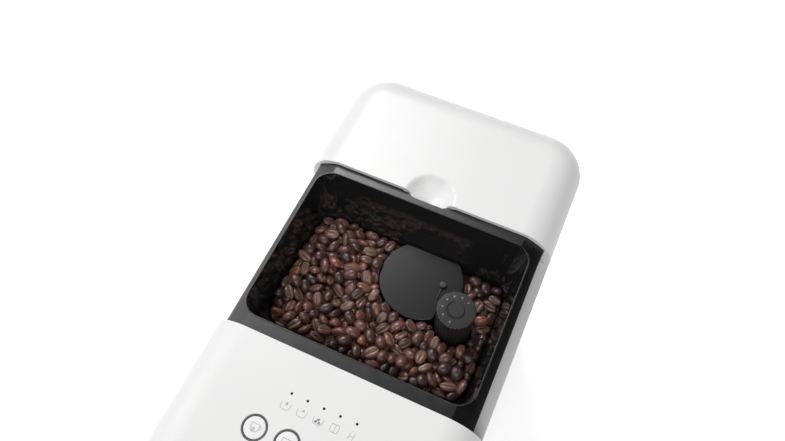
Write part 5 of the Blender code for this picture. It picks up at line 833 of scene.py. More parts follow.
def make_rear_cover():
    """White lid of the tank with its finger scoop and tongue."""
    skins = []
    for inset, front in ((0, REAR_SEAM), (COVER_WALL, REAR_SEAM + COVER_WALL)):
        loops = [rear_loop(inset, SKIRT_BOTTOM - inset, front)]
        for x, rise in arc((0, 0), COVER_SHOULDER - inset, 0, 90):
            loops.append(rear_loop(COVER_SHOULDER - x, TOP - COVER_SHOULDER + rise, front))
        skins.append(loft("rear_cover_shell", loops))
    cover = cut(*skins)
    opening = [(x, min(z, TOP - COVER_WALL)) for x, z in frame_edge(COVER_CLEARANCE)]
    opening[0] = (opening[0][0], SKIRT_BOTTOM - COVER_WALL)
    cut(cover, plate("opening", mirrored(opening), REAR_SEAM - COVER_WALL, REAR_SEAM + 2 * COVER_WALL, "Y"))
    merge_close(cover)
    floor = TOP - SCOOP_DEPTH - SCOOP_FLOOR
    join(cover, block("scoop_block", (-SCOOP_BLOCK_HALF, REAR_SEAM, floor),
                      (SCOOP_BLOCK_HALF, SCOOP_Y + SCOOP_BLOCK_HALF, TOP - COVER_WALL / 2)))
    tongue = round_rectangle((-TONGUE_HALF_WIDTH, REAR_SEAM - TONGUE_REACH),
                             (TONGUE_HALF_WIDTH, REAR_SEAM + TONGUE_ROOT), TONGUE_CORNERS)
    join(cover, plate("tongue", tongue, TONGUE_BOTTOM, TONGUE_TOP))
    cut(cover, revolve("scoop", (0, SCOOP_Y), scoop_profile(), WIDE_STEPS))
    soften(smooth(cover, COVER_ANGLE), COVER_EDGE)
    place(cover, "tank_cover", "white_gloss", "rear_cover")


def side_outline():
    """Side of the machine as (y, z)."""
    inner_curve = FRONT_CURVE - (TOP - LEDGE_TOP)
    points = [(SIDE_REAR, BASE_TOP + SEAM_GAP), (SIDE_REAR, LEDGE_TOP)]
    points += arc((CURVE_Y, CURVE_Z), inner_curve, 90, 180, LEDGE_CURVE_STEPS)
    points += [(CURVE_Y - inner_curve, HEAD_BOTTOM)]
    points += arc((SPLASH_FACE - HEAD_CORNER, HEAD_BOTTOM - HEAD_CORNER), HEAD_CORNER, 90, 0)
    points += [(SPLASH_FACE, BASE_TOP + SEAM_GAP)]
    return points


def door_outline(gap):
    """Outline of the service door as (y, z), moved outward by a gap."""
    near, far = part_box("service_door")
    return round_rectangle((near.y - gap, near.z - gap), (far.y + gap, far.z + gap), DOOR_CORNER + gap)


def make_side_panels():
    """White sides, each with the ledge that the hopper frame stands on."""
    openings = {"side_panel_left": (), "side_panel_right": (door_outline(DOOR_GAP),)}
    for side, (name, holes) in zip((-1, 1), openings.items()):
        near, far = sorted((side * HALF_WIDTH, side * (HALF_WIDTH - PANEL_WALL)))
        panel = plate(name + "_skin", side_outline(), near, far, "X", holes)
        ledge = sorted((side * (HALF_WIDTH - PANEL_WALL / 2), side * LEDGE_INSIDE))
        join(panel, block("ledge", (ledge[0], FRONT_SEAM - LEDGE_REACH, LEDGE_TOP - LEDGE_THICK),
                          (ledge[1], REAR_SEAM, LEDGE_TOP)))
        soften(smooth(panel), PANEL_EDGE)
        place(panel, "machine", "white_satin", name)


def make_service_door():
    """White door over the brew group with a round thumb grip."""
    near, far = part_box("service_door")
    door = plate("service_door_skin", door_outline(0), HALF_WIDTH - PANEL_WALL, HALF_WIDTH, "X")
    join(door, plate("rim", door_outline(-DOOR_RIM), near.x, HALF_WIDTH - PANEL_WALL / 2, "X",
                     (door_outline(-2 * DOOR_RIM),)))
    ball = (GRIP_RADIUS ** 2 + GRIP_DEPTH ** 2) / (2 * GRIP_DEPTH)
    shape = bmesh.new()
    bmesh.ops.create_uvsphere(shape, u_segments=GRIP_ROUND_STEPS, v_segments=GRIP_RISE_STEPS, radius=ball)
    grip = from_bmesh("grip", shape)
    grip.data.transform(Matrix.Translation((HALF_WIDTH - GRIP_DEPTH + ball, far.y - 2 * GRIP_RADIUS,
                                            far.z - 2 * GRIP_RADIUS)))
    cut(door, grip)
    soften(smooth(door, DOOR_ANGLE), PANEL_EDGE, angle=MIDDLE_ANGLE)
    place(door, "door", "white_satin", "service_door")


# Hopper

def bowl_loop(depth, offset, z):
    """Loop of the bowl's inner wall at a depth below the lip, moved outward by an offset."""
    share = min(depth / BOWL_SLOPE_DEPTH, 1.0)
    half = LIP_HALF_WIDTH - LIP_THICK / 2 - BOWL_SIDE_SLOPE * share + offset
    front = LIP_FRONT + LIP_THICK / 2 + BOWL_FRONT_SLOPE * share - offset
    back = LIP_REAR - LIP_THICK / 2 - BOWL_REAR_SLOPE * share + offset
    radius = LIP_CORNER - LIP_THICK / 2 + offset
    return [(x, y, z) for x, y in round_rectangle((-half, front), (half, back), radius)]


def make_hopper():
    """Black frame with its creased shoulders, the fine raised lip and the deep tapered bowl."""
    half = frame_edge()
    side = FRAME_HALF_WIDTH - FRAME_WALL
    under = [(side, half[0][1])] + [(min(x, side), z - FRAME_WALL) for x, z in half[1:]]
    grids = [[[(x, y, z) for x, z in mirrored(section)] for y in (FRAME_REAR, HOPPER_FRONT)]
             for section in (half, under)]
    hopper = shell("hopper_frame", *grids)
    bottom = BOWL_FLOOR - BOWL_WALL
    half_floor = BOWL_FLOOR - BOWL_WALL / 2
    slope_z = LIP_TOP - BOWL_SLOPE_DEPTH
    root = FRAME_TOP - LIP_ROOT
    tool = [(1, BOWL_WALL / 2, bottom), (1, BOWL_WALL / 2, slope_z), (0, LIP_THICK / 2, root),
            (0, LIP_THICK / 2, LIP_TOP + COVER_WALL)]
    cut(hopper, loft("bowl_space", [bowl_loop(*loop) for loop in tool]))
    loops = [(1, BOWL_WALL, bottom), (1, BOWL_WALL, slope_z), (0, LIP_THICK, root)]
    for across, start in ((LIP_THICK - LIP_ROUND, 0), (LIP_ROUND, 90)):
        crest = arc((across, LIP_CREST - LIP_ROUND), LIP_ROUND, start, start + 90, FINE_STEPS)
        loops += [(0, x, z) for x, z in crest]
    loops += [(BOWL_SLOPE_DEPTH * share, 0, LIP_TOP - BOWL_SLOPE_DEPTH * share)
              for share in (0.25, 0.5, 0.75, 1.0)]
    fillet = arc((-BOWL_FILLET, BOWL_FLOOR + BOWL_FILLET), BOWL_FILLET, 0, -90, FINE_STEPS)
    loops += [(1, x, z) for x, z in fillet]
    bowl = loft("hopper_bowl", [bowl_loop(*loop) for loop in loops])
    knob = middle("grind_knob")
    grinder = middle("adjust_ring")
    cut(bowl, drum("throat", grinder, THROAT_RADIUS, bottom - COVER_WALL, BOWL_FLOOR + COVER_WALL))
    join(hopper, bowl)
    join(hopper, drum("post", knob, POST_RADIUS, half_floor, POST_TOP))
    cut(hopper, drum("post_bore", knob, POST_BORE, bottom - COVER_WALL, POST_TOP + COVER_WALL))
    foot = low("bean_hopper").z
    join(hopper, revolve("throat_wall", grinder, [(THROAT_RADIUS, foot), (THROAT_RADIUS + THROAT_WALL, foot),
                                                  (THROAT_RADIUS + THROAT_WALL, half_floor),
                                                  (THROAT_RADIUS, half_floor)]))
    narrow = TONGUE_HALF_WIDTH + NOTCH_GAP
    notch = round_rectangle((-narrow, REAR_SEAM - TONGUE_REACH - NOTCH_FRONT_GAP), (narrow, REAR),
                            TONGUE_CORNERS)
    cut(hopper, plate("notch", notch, NOTCH_BOTTOM, TOP))
    wide = SCOOP_BLOCK_HALF + NOTCH_GAP
    cut(hopper, block("notch_rear", (-wide, REAR_SEAM - NOTCH_FRONT_GAP, NOTCH_BOTTOM), (wide, REAR, TOP)))
    soften(smooth(hopper, HOPPER_ANGLE), HOPPER_EDGE, FEW_STEPS, HOPPER_ANGLE)
    place(hopper, "machine", "black_gloss", "bean_hopper", look="frame_black")
    hopper.data.materials.append(finish("black_gloss"))
    for face in hopper.data.polygons:
        x, y, _ = face.center
        if abs(x) < LIP_HALF_WIDTH - LIP_GLOSS and LIP_FRONT + LIP_GLOSS < y < LIP_REAR - LIP_GLOSS:
            face.material_index = 1


# Beans

def bean_mesh():
    """One bean: a dome with a flat side and a crease along it."""
    shape = bmesh.new()
    layer = shape.verts.layers.float.new("crease")
    half = BEAN_LENGTH / 2
    rings = []
    for step in range(1, BEAN_RINGS):
        along = math.pi * step / BEAN_RINGS
        reach = math.sin(along) ** BEAN_TAPER
        ring = []
        for angle in BEAN_ANGLES:
            turn = math.radians(angle)
            rise = math.sin(turn)
            z = (BEAN_DOME if rise > 0 else BEAN_FLAT) * reach * rise
            vertex = shape.verts.new((half * math.cos(along), BEAN_WIDTH / 2 * reach * math.cos(turn), z))
            if angle == CREASE_ANGLE:
                vertex.co.z += BEAN_FLAT * CREASE_DEPTH * reach
                vertex.co.y += CREASE_BEND * math.sin(2 * along)
            # Pale chaff colour on the crease's sides; its floor is left dark as painted shade
            vertex[layer] = CREASE_CHAFF_AND_SHADE.get(angle, 0.0)
            ring.append(vertex)
        rings.append(ring)
    for near, far in zip(rings, rings[1:]):
        bridge(shape, near, far)
    for ring, x in ((rings[0], half), (rings[-1], -half)):
        tip = shape.verts.new((x, 0, 0))
        for index in range(len(ring)):
            shape.faces.new((ring[index], ring[(index + 1) % len(ring)], tip))
    bean = from_bmesh("bean", shape)
    bean.data.shade_smooth()
    return bean


def lengths(rows):
    """Length of each row of numbers, never quite zero."""
    return np.linalg.norm(rows, axis=1) + 1e-9


def rods(centres, aims):
    """Three balls along each bean."""
    return centres[:, None, :] + aims[:, None, :] * np.array((-1, 0, 1))[None, :, None] * BEAN_REACH


def settle_beans():
    """Drops the beans into the bowl, each as a rod of three balls; returns middles and directions."""
    draw = np.random.default_rng(BEAN_SEED)
    loop = bowl_loop(1, 0, 0)
    half = max(x for x, y, z in loop)
    front = min(y for x, y, z in loop)
    back = max(y for x, y, z in loop)
    corner = LIP_CORNER - LIP_THICK / 2
    knob = 0.5 * (high("grind_knob").x - low("grind_knob").x)
    posts = [(np.array(middle(node).xy), radius) for node, radius in (("adjust_ring", DISC_CLEARING),
                                                                      ("grind_knob", knob))]
    wall = BEAN_BALL + BEAN_SKIN
    lowest = (-half + BEAN_ROOM, front + BEAN_ROOM, 0)
    highest = (half - BEAN_ROOM, back - BEAN_ROOM, 1)
    places = []
    while len(places) < BEAN_COUNT:
        point = draw.uniform(lowest, highest)
        if all(np.hypot(*(point[:2] - centre)) > radius + BEAN_ROOM for centre, radius in posts):
            places.append(point)
    places = np.array(places)
    places[:, 2] = BEAN_FLOOR + BEAN_BALL + POUR_HEIGHT * places[:, 2]
    turn = draw.uniform(0, 2 * math.pi, BEAN_COUNT)
    tilt = draw.normal(0, BEAN_TILT, BEAN_COUNT)
    aim = np.stack((np.cos(turn) * np.cos(tilt), np.sin(turn) * np.cos(tilt), np.sin(tilt)), 1)
    balls = rods(places, aim)
    owner = np.repeat(np.arange(BEAN_COUNT), 3)
    for step in range(POUR_ROUNDS):
        flat = balls.reshape(-1, 3)
        if step % NEIGHBOUR_ROUNDS == 0:
            gap = flat[:, None, :] - flat[None, :, :]
            near = (gap ** 2).sum(2) < (2 * BEAN_BALL + BEAN_NEAR) ** 2
            near &= owner[:, None] < owner[None, :]
            first, second = np.nonzero(near)
        flat[:, 2] -= BEAN_FALL
        for _ in range(PUSH_PASSES):
            away = flat[first] - flat[second]
            distance = lengths(away)
            push = np.clip(2 * BEAN_BALL - distance, 0, None)
            move = away * (0.5 * push / distance)[:, None] * BEAN_GIVE
            np.add.at(flat, first, move)
            np.add.at(flat, second, -move)
            for centre, radius in posts:
                out = flat[:, :2] - centre
                distance = lengths(out)
                push = np.clip(radius + wall - distance, 0, None)
                flat[:, :2] += out * (push / distance)[:, None]
            flat[:, 0] = np.clip(flat[:, 0], -half + wall, half - wall)
            flat[:, 1] = np.clip(flat[:, 1], front + wall, back - wall)
            core = np.stack((np.clip(flat[:, 0], -half + corner, half - corner),
                             np.clip(flat[:, 1], front + corner, back - corner)), 1)
            out = flat[:, :2] - core
            distance = lengths(out)
            push = np.clip(distance - (corner - wall), 0, None)
            flat[:, :2] -= out * (push / distance)[:, None]
            flat[:, 2] = np.maximum(flat[:, 2], BEAN_FLOOR + BEAN_BALL)
            balls = flat.reshape(-1, 3, 3)
            aim = balls[:, 2] - balls[:, 0]
            aim /= lengths(aim)[:, None]
            balls = rods(balls.mean(1), aim)
            flat = balls.reshape(-1, 3)
    return balls.mean(1), aim, draw


def bean_tree():
    """Geometry Nodes that put a bean on each point with its own turn, size and tone."""
    tree, given, keys = growing_tree("scatter_beans", {"Shape": "Object", "Size": "Float",
                                                       "Finish": "Material"})
    turn, stretch = [add(tree, "GeometryNodeInputNamedAttribute", {"Name": name}, data_type="FLOAT_VECTOR")
                     for name in ("turn", "stretch")]
    scale = add(tree, "ShaderNodeVectorMath", {"Vector": stretch.outputs["Attribute"],
                                               "Scale": given["Size"]}, operation="SCALE")
    turned = add(tree, "FunctionNodeEulerToRotation", {"Euler": turn.outputs["Attribute"]})
    bean = add(tree, "GeometryNodeObjectInfo", {"Object": given["Shape"]})
    copies = add(tree, "GeometryNodeInstanceOnPoints", {
        "Points": given["Geometry"], "Instance": bean.outputs["Geometry"],
        "Rotation": turned.outputs["Rotation"], "Scale": scale.outputs["Vector"]})
    end_tree(tree, copies, given["Finish"])
    return tree, keys


def make_beans():
    """The heap of roasted beans on a dark sheet of painted shadow."""
    centres, aims, draw = settle_beans()
    points = bpy.data.meshes.new("bean_points")
    points.from_pydata([tuple(point) for point in centres], [], [])
    turns = []
    for aim in aims:
        roll = (0 if draw.random() < DOME_UP else math.pi) + draw.normal(0, ROLL_SPREAD)
        turn = Vector(aim).to_track_quat("X", "Z") @ Matrix.Rotation(roll, 3, "X").to_quaternion()
        turns.append(tuple(turn.to_euler()))
    stretch = draw.uniform(STRETCH_LOW, STRETCH_HIGH, (BEAN_COUNT, 3))
    tones = np.clip(draw.beta(*TONE_SHAPE, BEAN_COUNT), 0, 1)
    for name, kind, key, values in (("turn", "FLOAT_VECTOR", "vector", turns),
                                    ("stretch", "FLOAT_VECTOR", "vector", stretch),
                                    ("tone", "FLOAT", "value", tones)):
        layer = points.attributes.new(name, kind, "POINT")
        layer.data.foreach_set(key, np.array(values, dtype=np.float32).ravel())
    heap = grown("bean_heap", points, *bean_tree(), {"Shape": bean_mesh(), "Size": 1.0,
                                                     "Finish": finish("roasted_beans")})
    place(heap, "machine", "roasted_beans", "coffee_beans")
    # A near-black sheet under the heap: painted shadow in the gaps between the beans.
    bed = loft("bean_bed", [bowl_loop(1, -BED_GAP, z) for z in (BED_BOTTOM, BED_TOP)])
    for node, radius in BED_CLEARINGS:
        cut(bed, drum("clear", middle(node), radius, BOWL_FLOOR - BED_CUT, LIP_TOP))
    place(bed, "machine", "roasted_beans", look="bean_shadow")


# What repeats

def repeat_tree():
    """Geometry Nodes that set one shape out at even steps."""
    tree, given, keys = growing_tree("repeat_shape", {"Shape": "Object", "Count": "Int", "Step": "Vector",
                                                      "Finish": "Material"})
    line = add(tree, "GeometryNodeMeshLine", {"Count": given["Count"], "Offset": given["Step"]})
    shape = add(tree, "GeometryNodeObjectInfo", {"Object": given["Shape"]})
    copies = add(tree, "GeometryNodeInstanceOnPoints", {"Points": line.outputs["Mesh"],
                                                        "Instance": shape.outputs["Geometry"]})
    end_tree(tree, copies, given["Finish"])
    return tree, keys


REPEAT = repeat_tree()


def repeated(name, shape, count, step, look):
    """Copies of a shape at even steps, as one plain mesh."""
    return grown(name, bpy.data.meshes.new(name), *REPEAT, {"Shape": shape, "Count": count, "Step": step,
                                                            "Finish": finish(look)})


# Printed lines

# Size of a symbol's unit, thickness and width of a line: on the panel, and on the knob
PRINT_STYLE = (0.001, 0.00004, 0.00034)
MARK_STYLE = (1.0, 0.00016, 0.00042)


def print_lines(name, lines, centre, level, style):
    """Printed lines of even width; each line is a row of points, closed where its ends meet."""
    scale, thick, width = style
    bottom = level - thick / 2
    top = bottom + thick
    shape = bmesh.new()
    for line in lines:
        points = [Vector(point) * scale + Vector(centre) for point in line]
        closed = (points[0] - points[-1]).length < width * 0.3
        if closed:
            points = points[:-1]
        count = len(points)
        rails = []
        for index, point in enumerate(points):
            after = points[(index + 1) % count] if closed or index < count - 1 else point
            before = points[index - 1] if closed or index > 0 else point
            forward = (after - point).normalized() if after != point else (point - before).normalized()
            back = (point - before).normalized() if before != point else forward
            side = Vector((-(forward + back).y, (forward + back).x)).normalized()
            reach = width / 2 / max(side.dot(Vector((-forward.y, forward.x))), 0.5)
            ring = []
            for offset, z in ((reach, top), (-reach, top), (-reach, bottom), (reach, bottom)):
                ring.append(shape.verts.new((*(point + side * offset), z)))
            rails.append(ring)
        for index in range(count if closed else count - 1):
            bridge(shape, rails[index], rails[(index + 1) % count])
        if not closed:
            shape.faces.new(rails[0])
            shape.faces.new(rails[-1])
    return from_bmesh(name, shape)


def ring_line(centre, radius, start=0, end=360, steps=24, squeeze=1.0, lean=0.0):
    """Points of a round line in a symbol."""
    flat = [(x, y * squeeze) for x, y in arc((0, 0), radius, start, end, steps)]
    return [(centre[0] + x, centre[1] + y) for x, y in leaned(flat, lean)]


def vessel():
    """Open container with flared rims."""
    half, top, bottom, corner = 2.9, 1.6, -2.4, 1.7
    side = [(half + 0.25, top), (half, top - 0.9), (half, bottom + corner)]
    side += arc((half - corner, bottom + corner), corner, 0, -90, FINE_STEPS)
    return [(-x, y) for x, y in mirrored(side)]


def drop(centre, radius):
    """A drop of water."""
    tip = (centre[0], centre[1] + 2.2 * radius)
    return [tip] + arc(centre, radius, -210, 30, 14)[::-1] + [tip]


def cup(half, top, bottom):
    """A cup from the side, partly filled."""
    handle = 1.1
    corner = (top - bottom) * 0.45
    wall = [(-half, top), (half, top)]
    wall += arc((half - corner, bottom + corner), corner, 0, -90, BEND_STEPS)
    wall += arc((corner - half, bottom + corner), corner, -90, -180, BEND_STEPS) + [(-half, top)]
    lines = [wall, ring_line((half, top - handle - 0.4), handle, 82, -82, 12)]
    level = bottom + 0.45
    while level < (top + bottom) / 2 + 0.3:
        reach = half - 0.35 - max(0.0, corner - (level - bottom)) * 0.55
        lines.append([(-reach, level), (reach * 0.35, level)])
        level += 0.55
    return lines


# Symbols below the lights and on the buttons, with a millimetre as their unit
BEAN_SYMBOLS = (((-1.1, -0.9), 0.5), ((1.0, -1.1), -0.3), ((0.0, 0.6), 0.1))
SYMBOLS = (
    [vessel(), drop((0.3, 1.0), 0.6), drop((0.3, 1.0), 0.3)],
    [vessel(), [(-0.3, 0.9), (0.5, 2.2), (1.1, 1.0), (-0.3, 0.9)], [(0.2, 1.25), (0.7, 1.3)]],
    [vessel()] + [ring_line(centre, size, squeeze=0.7, lean=lean, steps=12)
                  for centre, lean in BEAN_SYMBOLS for size in (0.85, 0.5, 0.2)],
    [round_rectangle((-2.5, -2.3), (2.5, 2.3), 0.9, FINE_STEPS) + [(-2.5, -1.4)],
     [(0.1, -2.0), (0.1, 2.0)]],
    [[(-1.7, -2.0), (-1.1, 1.9)], [(1.1, -2.0), (1.7, 1.9)], [(-1.2, -0.5), (1.2, 0.1)]],
)
CAP_SYMBOLS = {
    "button_small_cup": cup(2.5, 2.3, -2.3),
    "button_large_cup": cup(3.2, 2.0, -2.4),
    "button_strength": [ring_line((0, 0), 3.2, squeeze=0.62, lean=0.9),
                        [(x, 0.35 * math.sin(x * 1.4) + x * 1.15)
                         for x in (-1.9, -1.2, -0.6, 0.0, 0.6, 1.2, 1.9)]],
    "button_power": [ring_line((0, -0.2), 2.6, 125, 415, 30), [(0, 0.4), (0, 3.1)]],
}


# Grinder cover, pin and knob

DISC_ROUND = 0.0007
DISC_THICK = 0.004
DISC_EDGE = 0.00025
DISC_STEPS = 128
LEG_RADIUS = 0.003
LEG_REACH = 0.0243
LEG_ANGLES = (30, 150, 250)
RIB_WIDTH = 0.001
RIB_LENGTH = 0.0085
RIB_HEIGHT = 0.0008
RIB_CORNER = RIB_WIDTH * 0.45
RIB_ROUND = RIB_WIDTH * 0.4
RIB_STEPS = 4
RIB_GAP = 0.0003
KNOB_NOTCH = 0.0013
PIN_HEAD = 0.0016
PIN_HEAD_ROUND = 0.0008
PIN_HEAD_EDGE = 0.0001
PIN_STEM = 0.0012
PIN_FIT = 0.0002
PIN_HOLE_DEPTH = 0.0003
KNOB_STEPS = 300
KNOB_FLUTES = 30
KNOB_FLUTE_DEPTH = 0.0011
KNOB_HEAD = 0.0035
KNOB_ROUND = 0.0009
KNOB_EDGE = 0.0003
KNOB_ANGLE = 35
KNOB_WALL = 0.0016
KNOB_HEAD_FLUTE = 0.0010
KNOB_RING_RISE = 0.0003
KNOB_RING = ((0.0062, 0), (0.0057, -0.0005), (0.0054, -0.0006), (0.0052, -0.0005), (0.0050, 0.0001),
             (0.0048, 0.0003), (0.0044, 0.0003), (0.0003, 0.0003))
SOCKET_RADIUS = 0.0055
SOCKET_BORE = 0.0033
SOCKET_DEPTH = 0.006
MARK_REACH = 0.009
MARK_SHAPE = ((-0.00055, 0.0006), (0, -0.0004), (0.00055, 0.0006))
MARK_LEAN = math.radians(24)
MARK_ANGLES = (-96, -137, -172, 152, 119, 87)
DASH_ANGLE = 55
DASH_HALF = 0.0007


def make_grinder_cover():
    """Flat dark disc on three legs, with its rib and the hole of the pin."""
    near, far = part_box("grinder_cover")
    centre = middle("adjust_ring")
    radius = far.x - centre.x
    top = far.z - RIB_HEIGHT
    bottom = top - DISC_THICK
    profile = [(0, bottom), (radius - DISC_ROUND / 2, bottom), (radius, bottom + DISC_ROUND / 2)]
    profile += arc((radius - DISC_ROUND, top - DISC_ROUND), DISC_ROUND, 0, 90, EDGE_STEPS) + [(0, top)]
    disc = revolve("grinder_disc", centre, profile, DISC_STEPS)
    cut(disc, block("back", (near.x - radius, far.y, bottom - radius),
                    (far.x + radius, far.y + radius, top + radius)))
    knob = middle("grind_knob")
    notch = high("grind_knob").x - knob.x + KNOB_NOTCH
    cut(disc, drum("notch", knob, notch, bottom - DISC_THICK, top + DISC_THICK, WIDE_STEPS))
    for angle in LEG_ANGLES:
        leg = around(centre, LEG_REACH, angle)
        join(disc, drum("leg", leg, LEG_RADIUS, near.z, bottom + DISC_THICK / 2, TINY_STEPS))
    pin = middle("index_pin")
    rib_end = low("index_pin").y - RIB_GAP
    rib = round_rectangle((pin.x - RIB_WIDTH / 2, rib_end - RIB_LENGTH), (pin.x + RIB_WIDTH / 2, rib_end),
                          RIB_CORNER, EDGE_STEPS)
    ridge = plate("rib", rib, top - RIB_HEIGHT, top + RIB_HEIGHT)
    join(disc, bake(soften(ridge, RIB_ROUND, RIB_STEPS)))
    pin_hole = low("index_pin").z - PIN_HOLE_DEPTH
    cut(disc, drum("pin_hole", pin, PIN_STEM + PIN_FIT, pin_hole, top + RIB_HEIGHT, TINY_STEPS))
    soften(smooth(disc), DISC_EDGE, FEW_STEPS, BLUNT_ANGLE)
    place(disc, "machine", "dark_grey", "grinder_cover")


def make_index_pin():
    """The little pin in the grinder cover, with its round head."""
    foot, head, centre = span("index_pin")
    radius = head.x - centre.x
    seat = head.z - PIN_HEAD
    crown = arc((radius - PIN_HEAD_ROUND, head.z - PIN_HEAD_ROUND), PIN_HEAD_ROUND, 0, 90, EDGE_STEPS)
    profile = [(0, head.z)] + crown[::-1]
    profile += [(radius, seat + PIN_HEAD_EDGE), (radius - PIN_HEAD_EDGE, seat), (PIN_STEM, seat),
                (PIN_STEM, foot.z), (0, foot.z)]
    pin = smooth(revolve("index_pin_turned", centre, profile, SMALL_STEPS))
    place(pin, "machine", "grey_plastic", "index_pin", look="pin_grey")


def knob_loop(centre, radius, z, flute=0.0):
    """A ring of the knob, with or without its flutes."""
    points = []
    for step in range(KNOB_STEPS):
        angle = 2 * math.pi * step / KNOB_STEPS
        reach = radius - flute * (1 - math.cos(angle * KNOB_FLUTES)) / 2
        points.append((centre.x + reach * math.cos(angle), centre.y + reach * math.sin(angle), z))
    return points


def make_knob():
    """Tall grind knob: smooth head with a fine ring and marks, fluted skirt, hollow below."""
    near, far, centre = span("grind_knob")
    radius = far.x - centre.x
    face = far.z - KNOB_RING_RISE
    head = far.z - KNOB_HEAD
    skirt = radius - KNOB_ROUND / 2
    hollow = radius - KNOB_FLUTE_DEPTH - KNOB_WALL
    roof = head - KNOB_WALL
    rings = [(SOCKET_BORE, roof), (SOCKET_BORE, roof - SOCKET_DEPTH), (SOCKET_RADIUS, roof - SOCKET_DEPTH),
             (SOCKET_RADIUS, roof), (hollow, roof), (hollow, near.z),
             (skirt - KNOB_EDGE, near.z, KNOB_FLUTE_DEPTH), (skirt, near.z + KNOB_EDGE, KNOB_FLUTE_DEPTH),
             (skirt, head, KNOB_FLUTE_DEPTH), (radius - KNOB_EDGE, head, KNOB_HEAD_FLUTE),
             (radius, head + KNOB_EDGE, KNOB_HEAD_FLUTE)]
    rings += [(x, z, KNOB_HEAD_FLUTE * (face - z) / KNOB_ROUND)
              for x, z in arc((radius - KNOB_ROUND, face - KNOB_ROUND), KNOB_ROUND, 0, 90, BEND_STEPS)]
    rings += [(ring, face + rise) for ring, rise in KNOB_RING]
    knob = smooth(loft("knob_moulding", [knob_loop(centre, *ring) for ring in rings]), KNOB_ANGLE)
    place(knob, "knob", "dark_grey", "grind_knob", look="knob_grey")
    for index, angle in enumerate(MARK_ANGLES):
        mark = print_lines("knob_mark_%d" % index, [leaned(MARK_SHAPE, MARK_LEAN)],
                           around(centre, MARK_REACH, angle), face, MARK_STYLE)
        place(mark, "knob", "dark_grey", look="mark_grey")
    line = [around((0, 0), MARK_REACH + reach, DASH_ANGLE) for reach in (-DASH_HALF, DASH_HALF)]
    dash = print_lines("knob_dash", [line], centre.xy, face, MARK_STYLE)
    place(dash, "knob", "dark_grey", look="mark_grey")


# Control panel

BUTTON_GAP = 0.0003
CAP_ROUND = 0.0005
CAP_FLANGE = 0.0015
RING_EDGE = 0.00015
GUIDE_THICK = 0.002
GUIDE_ANGLE = 25
LIGHT_DOME = 0.0002
LIGHT_FLAT = LIGHT_RADIUS * 0.75
LIGHT_FALL = LIGHT_DOME * 0.3
SYMBOL_DROP = 0.0075


def make_buttons():
    """White caps with their printed marks."""
    for node, body in BUTTON_BODIES.items():
        near, far, centre = span(node)
        flange = far.x - centre.x
        cap = RING_INSIDE - BUTTON_GAP
        step = near.z + CAP_FLANGE
        profile = [(0, near.z), (flange, near.z), (flange, step), (cap, step)]
        profile += arc((cap - CAP_ROUND, far.z - CAP_ROUND), CAP_ROUND, 0, 90, EDGE_STEPS) + [(0, far.z)]
        button = smooth(revolve(node + "_cap", centre, profile, WIDE_STEPS))
        place(button, body, "white_button", node)
        mark = print_lines(node + "_mark", CAP_SYMBOLS[node], centre.xy, far.z, PRINT_STYLE)
        place(mark, body, "ring_grey", look="print_grey")


def make_button_rings():
    """Light guide of the buttons: a bar with a raised grey ring round each of them."""
    near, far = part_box("button_light_guide")
    centres = [middle(node) for node in BUTTON_BODIES]
    outline = round_rectangle(near, far, CAP_ROUND)
    guide = plate("button_rings", outline, near.z, near.z + GUIDE_THICK,
                  holes=[circle(centre, RING_INSIDE) for centre in centres])
    seat = near.z + GUIDE_THICK / 2
    profile = [(RING_INSIDE, seat), (RING_OUTSIDE, seat), (RING_OUTSIDE, far.z - RING_EDGE),
               (RING_OUTSIDE - RING_EDGE, far.z), (RING_INSIDE + RING_EDGE, far.z),
               (RING_INSIDE, far.z - RING_EDGE)]
    for centre in centres:
        join(guide, revolve("ring", centre, profile))
    place(smooth(guide, GUIDE_ANGLE), "machine", "ring_grey", "button_light_guide")


def make_lights_and_symbols():
    """Five dark lights on their bar, and the symbols below them."""
    near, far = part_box("indicator_light_guide")
    bar = block("light_bar", near, (far.x, far.y, near.z + GUIDE_THICK))
    seat = near.z + GUIDE_THICK / 2
    profile = [(0, seat), (LIGHT_RADIUS, seat), (LIGHT_RADIUS, far.z - LIGHT_DOME),
               (LIGHT_FLAT, far.z - LIGHT_FALL), (0, far.z)]
    centres = light_places()
    light = revolve("light", centres[0], profile, TINY_STEPS)
    join(bar, repeated("light_row", light, len(centres), (LIGHT_PITCH, 0, 0), "light_black"))
    place(smooth(bar, MIDDLE_ANGLE), "machine", "ring_grey", "indicator_light_guide", look="light_black")
    for index, (lines, (x, y)) in enumerate(zip(SYMBOLS, centres)):
        mark = print_lines("panel_symbol_%d" % index, lines, (x, y - SYMBOL_DROP), TOP, PRINT_STYLE)
        place(mark, "machine", "ring_grey", look="print_grey")


# Front, base and back

FASCIA_SKIRT = 0.028
WINDOW_GAP = 0.001
BASE_NARROWING = 0.007
BASE_CORNER = 0.020
FOOT_TOP = 0.009
FOOT_EDGE = 0.0007
VENT_HALF = 0.030
VENT_WIDTH = 0.003
VENT_PITCH = 0.008
VENT_COUNT = 8
VENT_LOWEST = 0.084
INLET_FLANGE = 0.003
SPOUT_TOP = HEAD_BOTTOM + 0.051


def make_fascia():
    """Glossy black front under the cover, with the window for the spout."""
    path = [(FASCIA_FACE, FASCIA_TOP, -1, 0), (FASCIA_FACE, HEAD_BOTTOM, -1, 0)]
    fascia = tunnel_shell("fascia_shell", path, FASCIA_SKIRT)
    half = high("spout_carriage").x + WINDOW_GAP
    window = round_rectangle((-half, HEAD_BOTTOM - 4 * COVER_WALL), (half, SPOUT_TOP + WINDOW_GAP), FINE_EDGE)
    cut(fascia, plate("window", window, FASCIA_FACE - COVER_WALL, FASCIA_FACE + 2 * COVER_WALL, "Y"))
    soften(smooth(fascia), PANEL_EDGE)
    place(fascia, "machine", "black_gloss", "front_fascia")


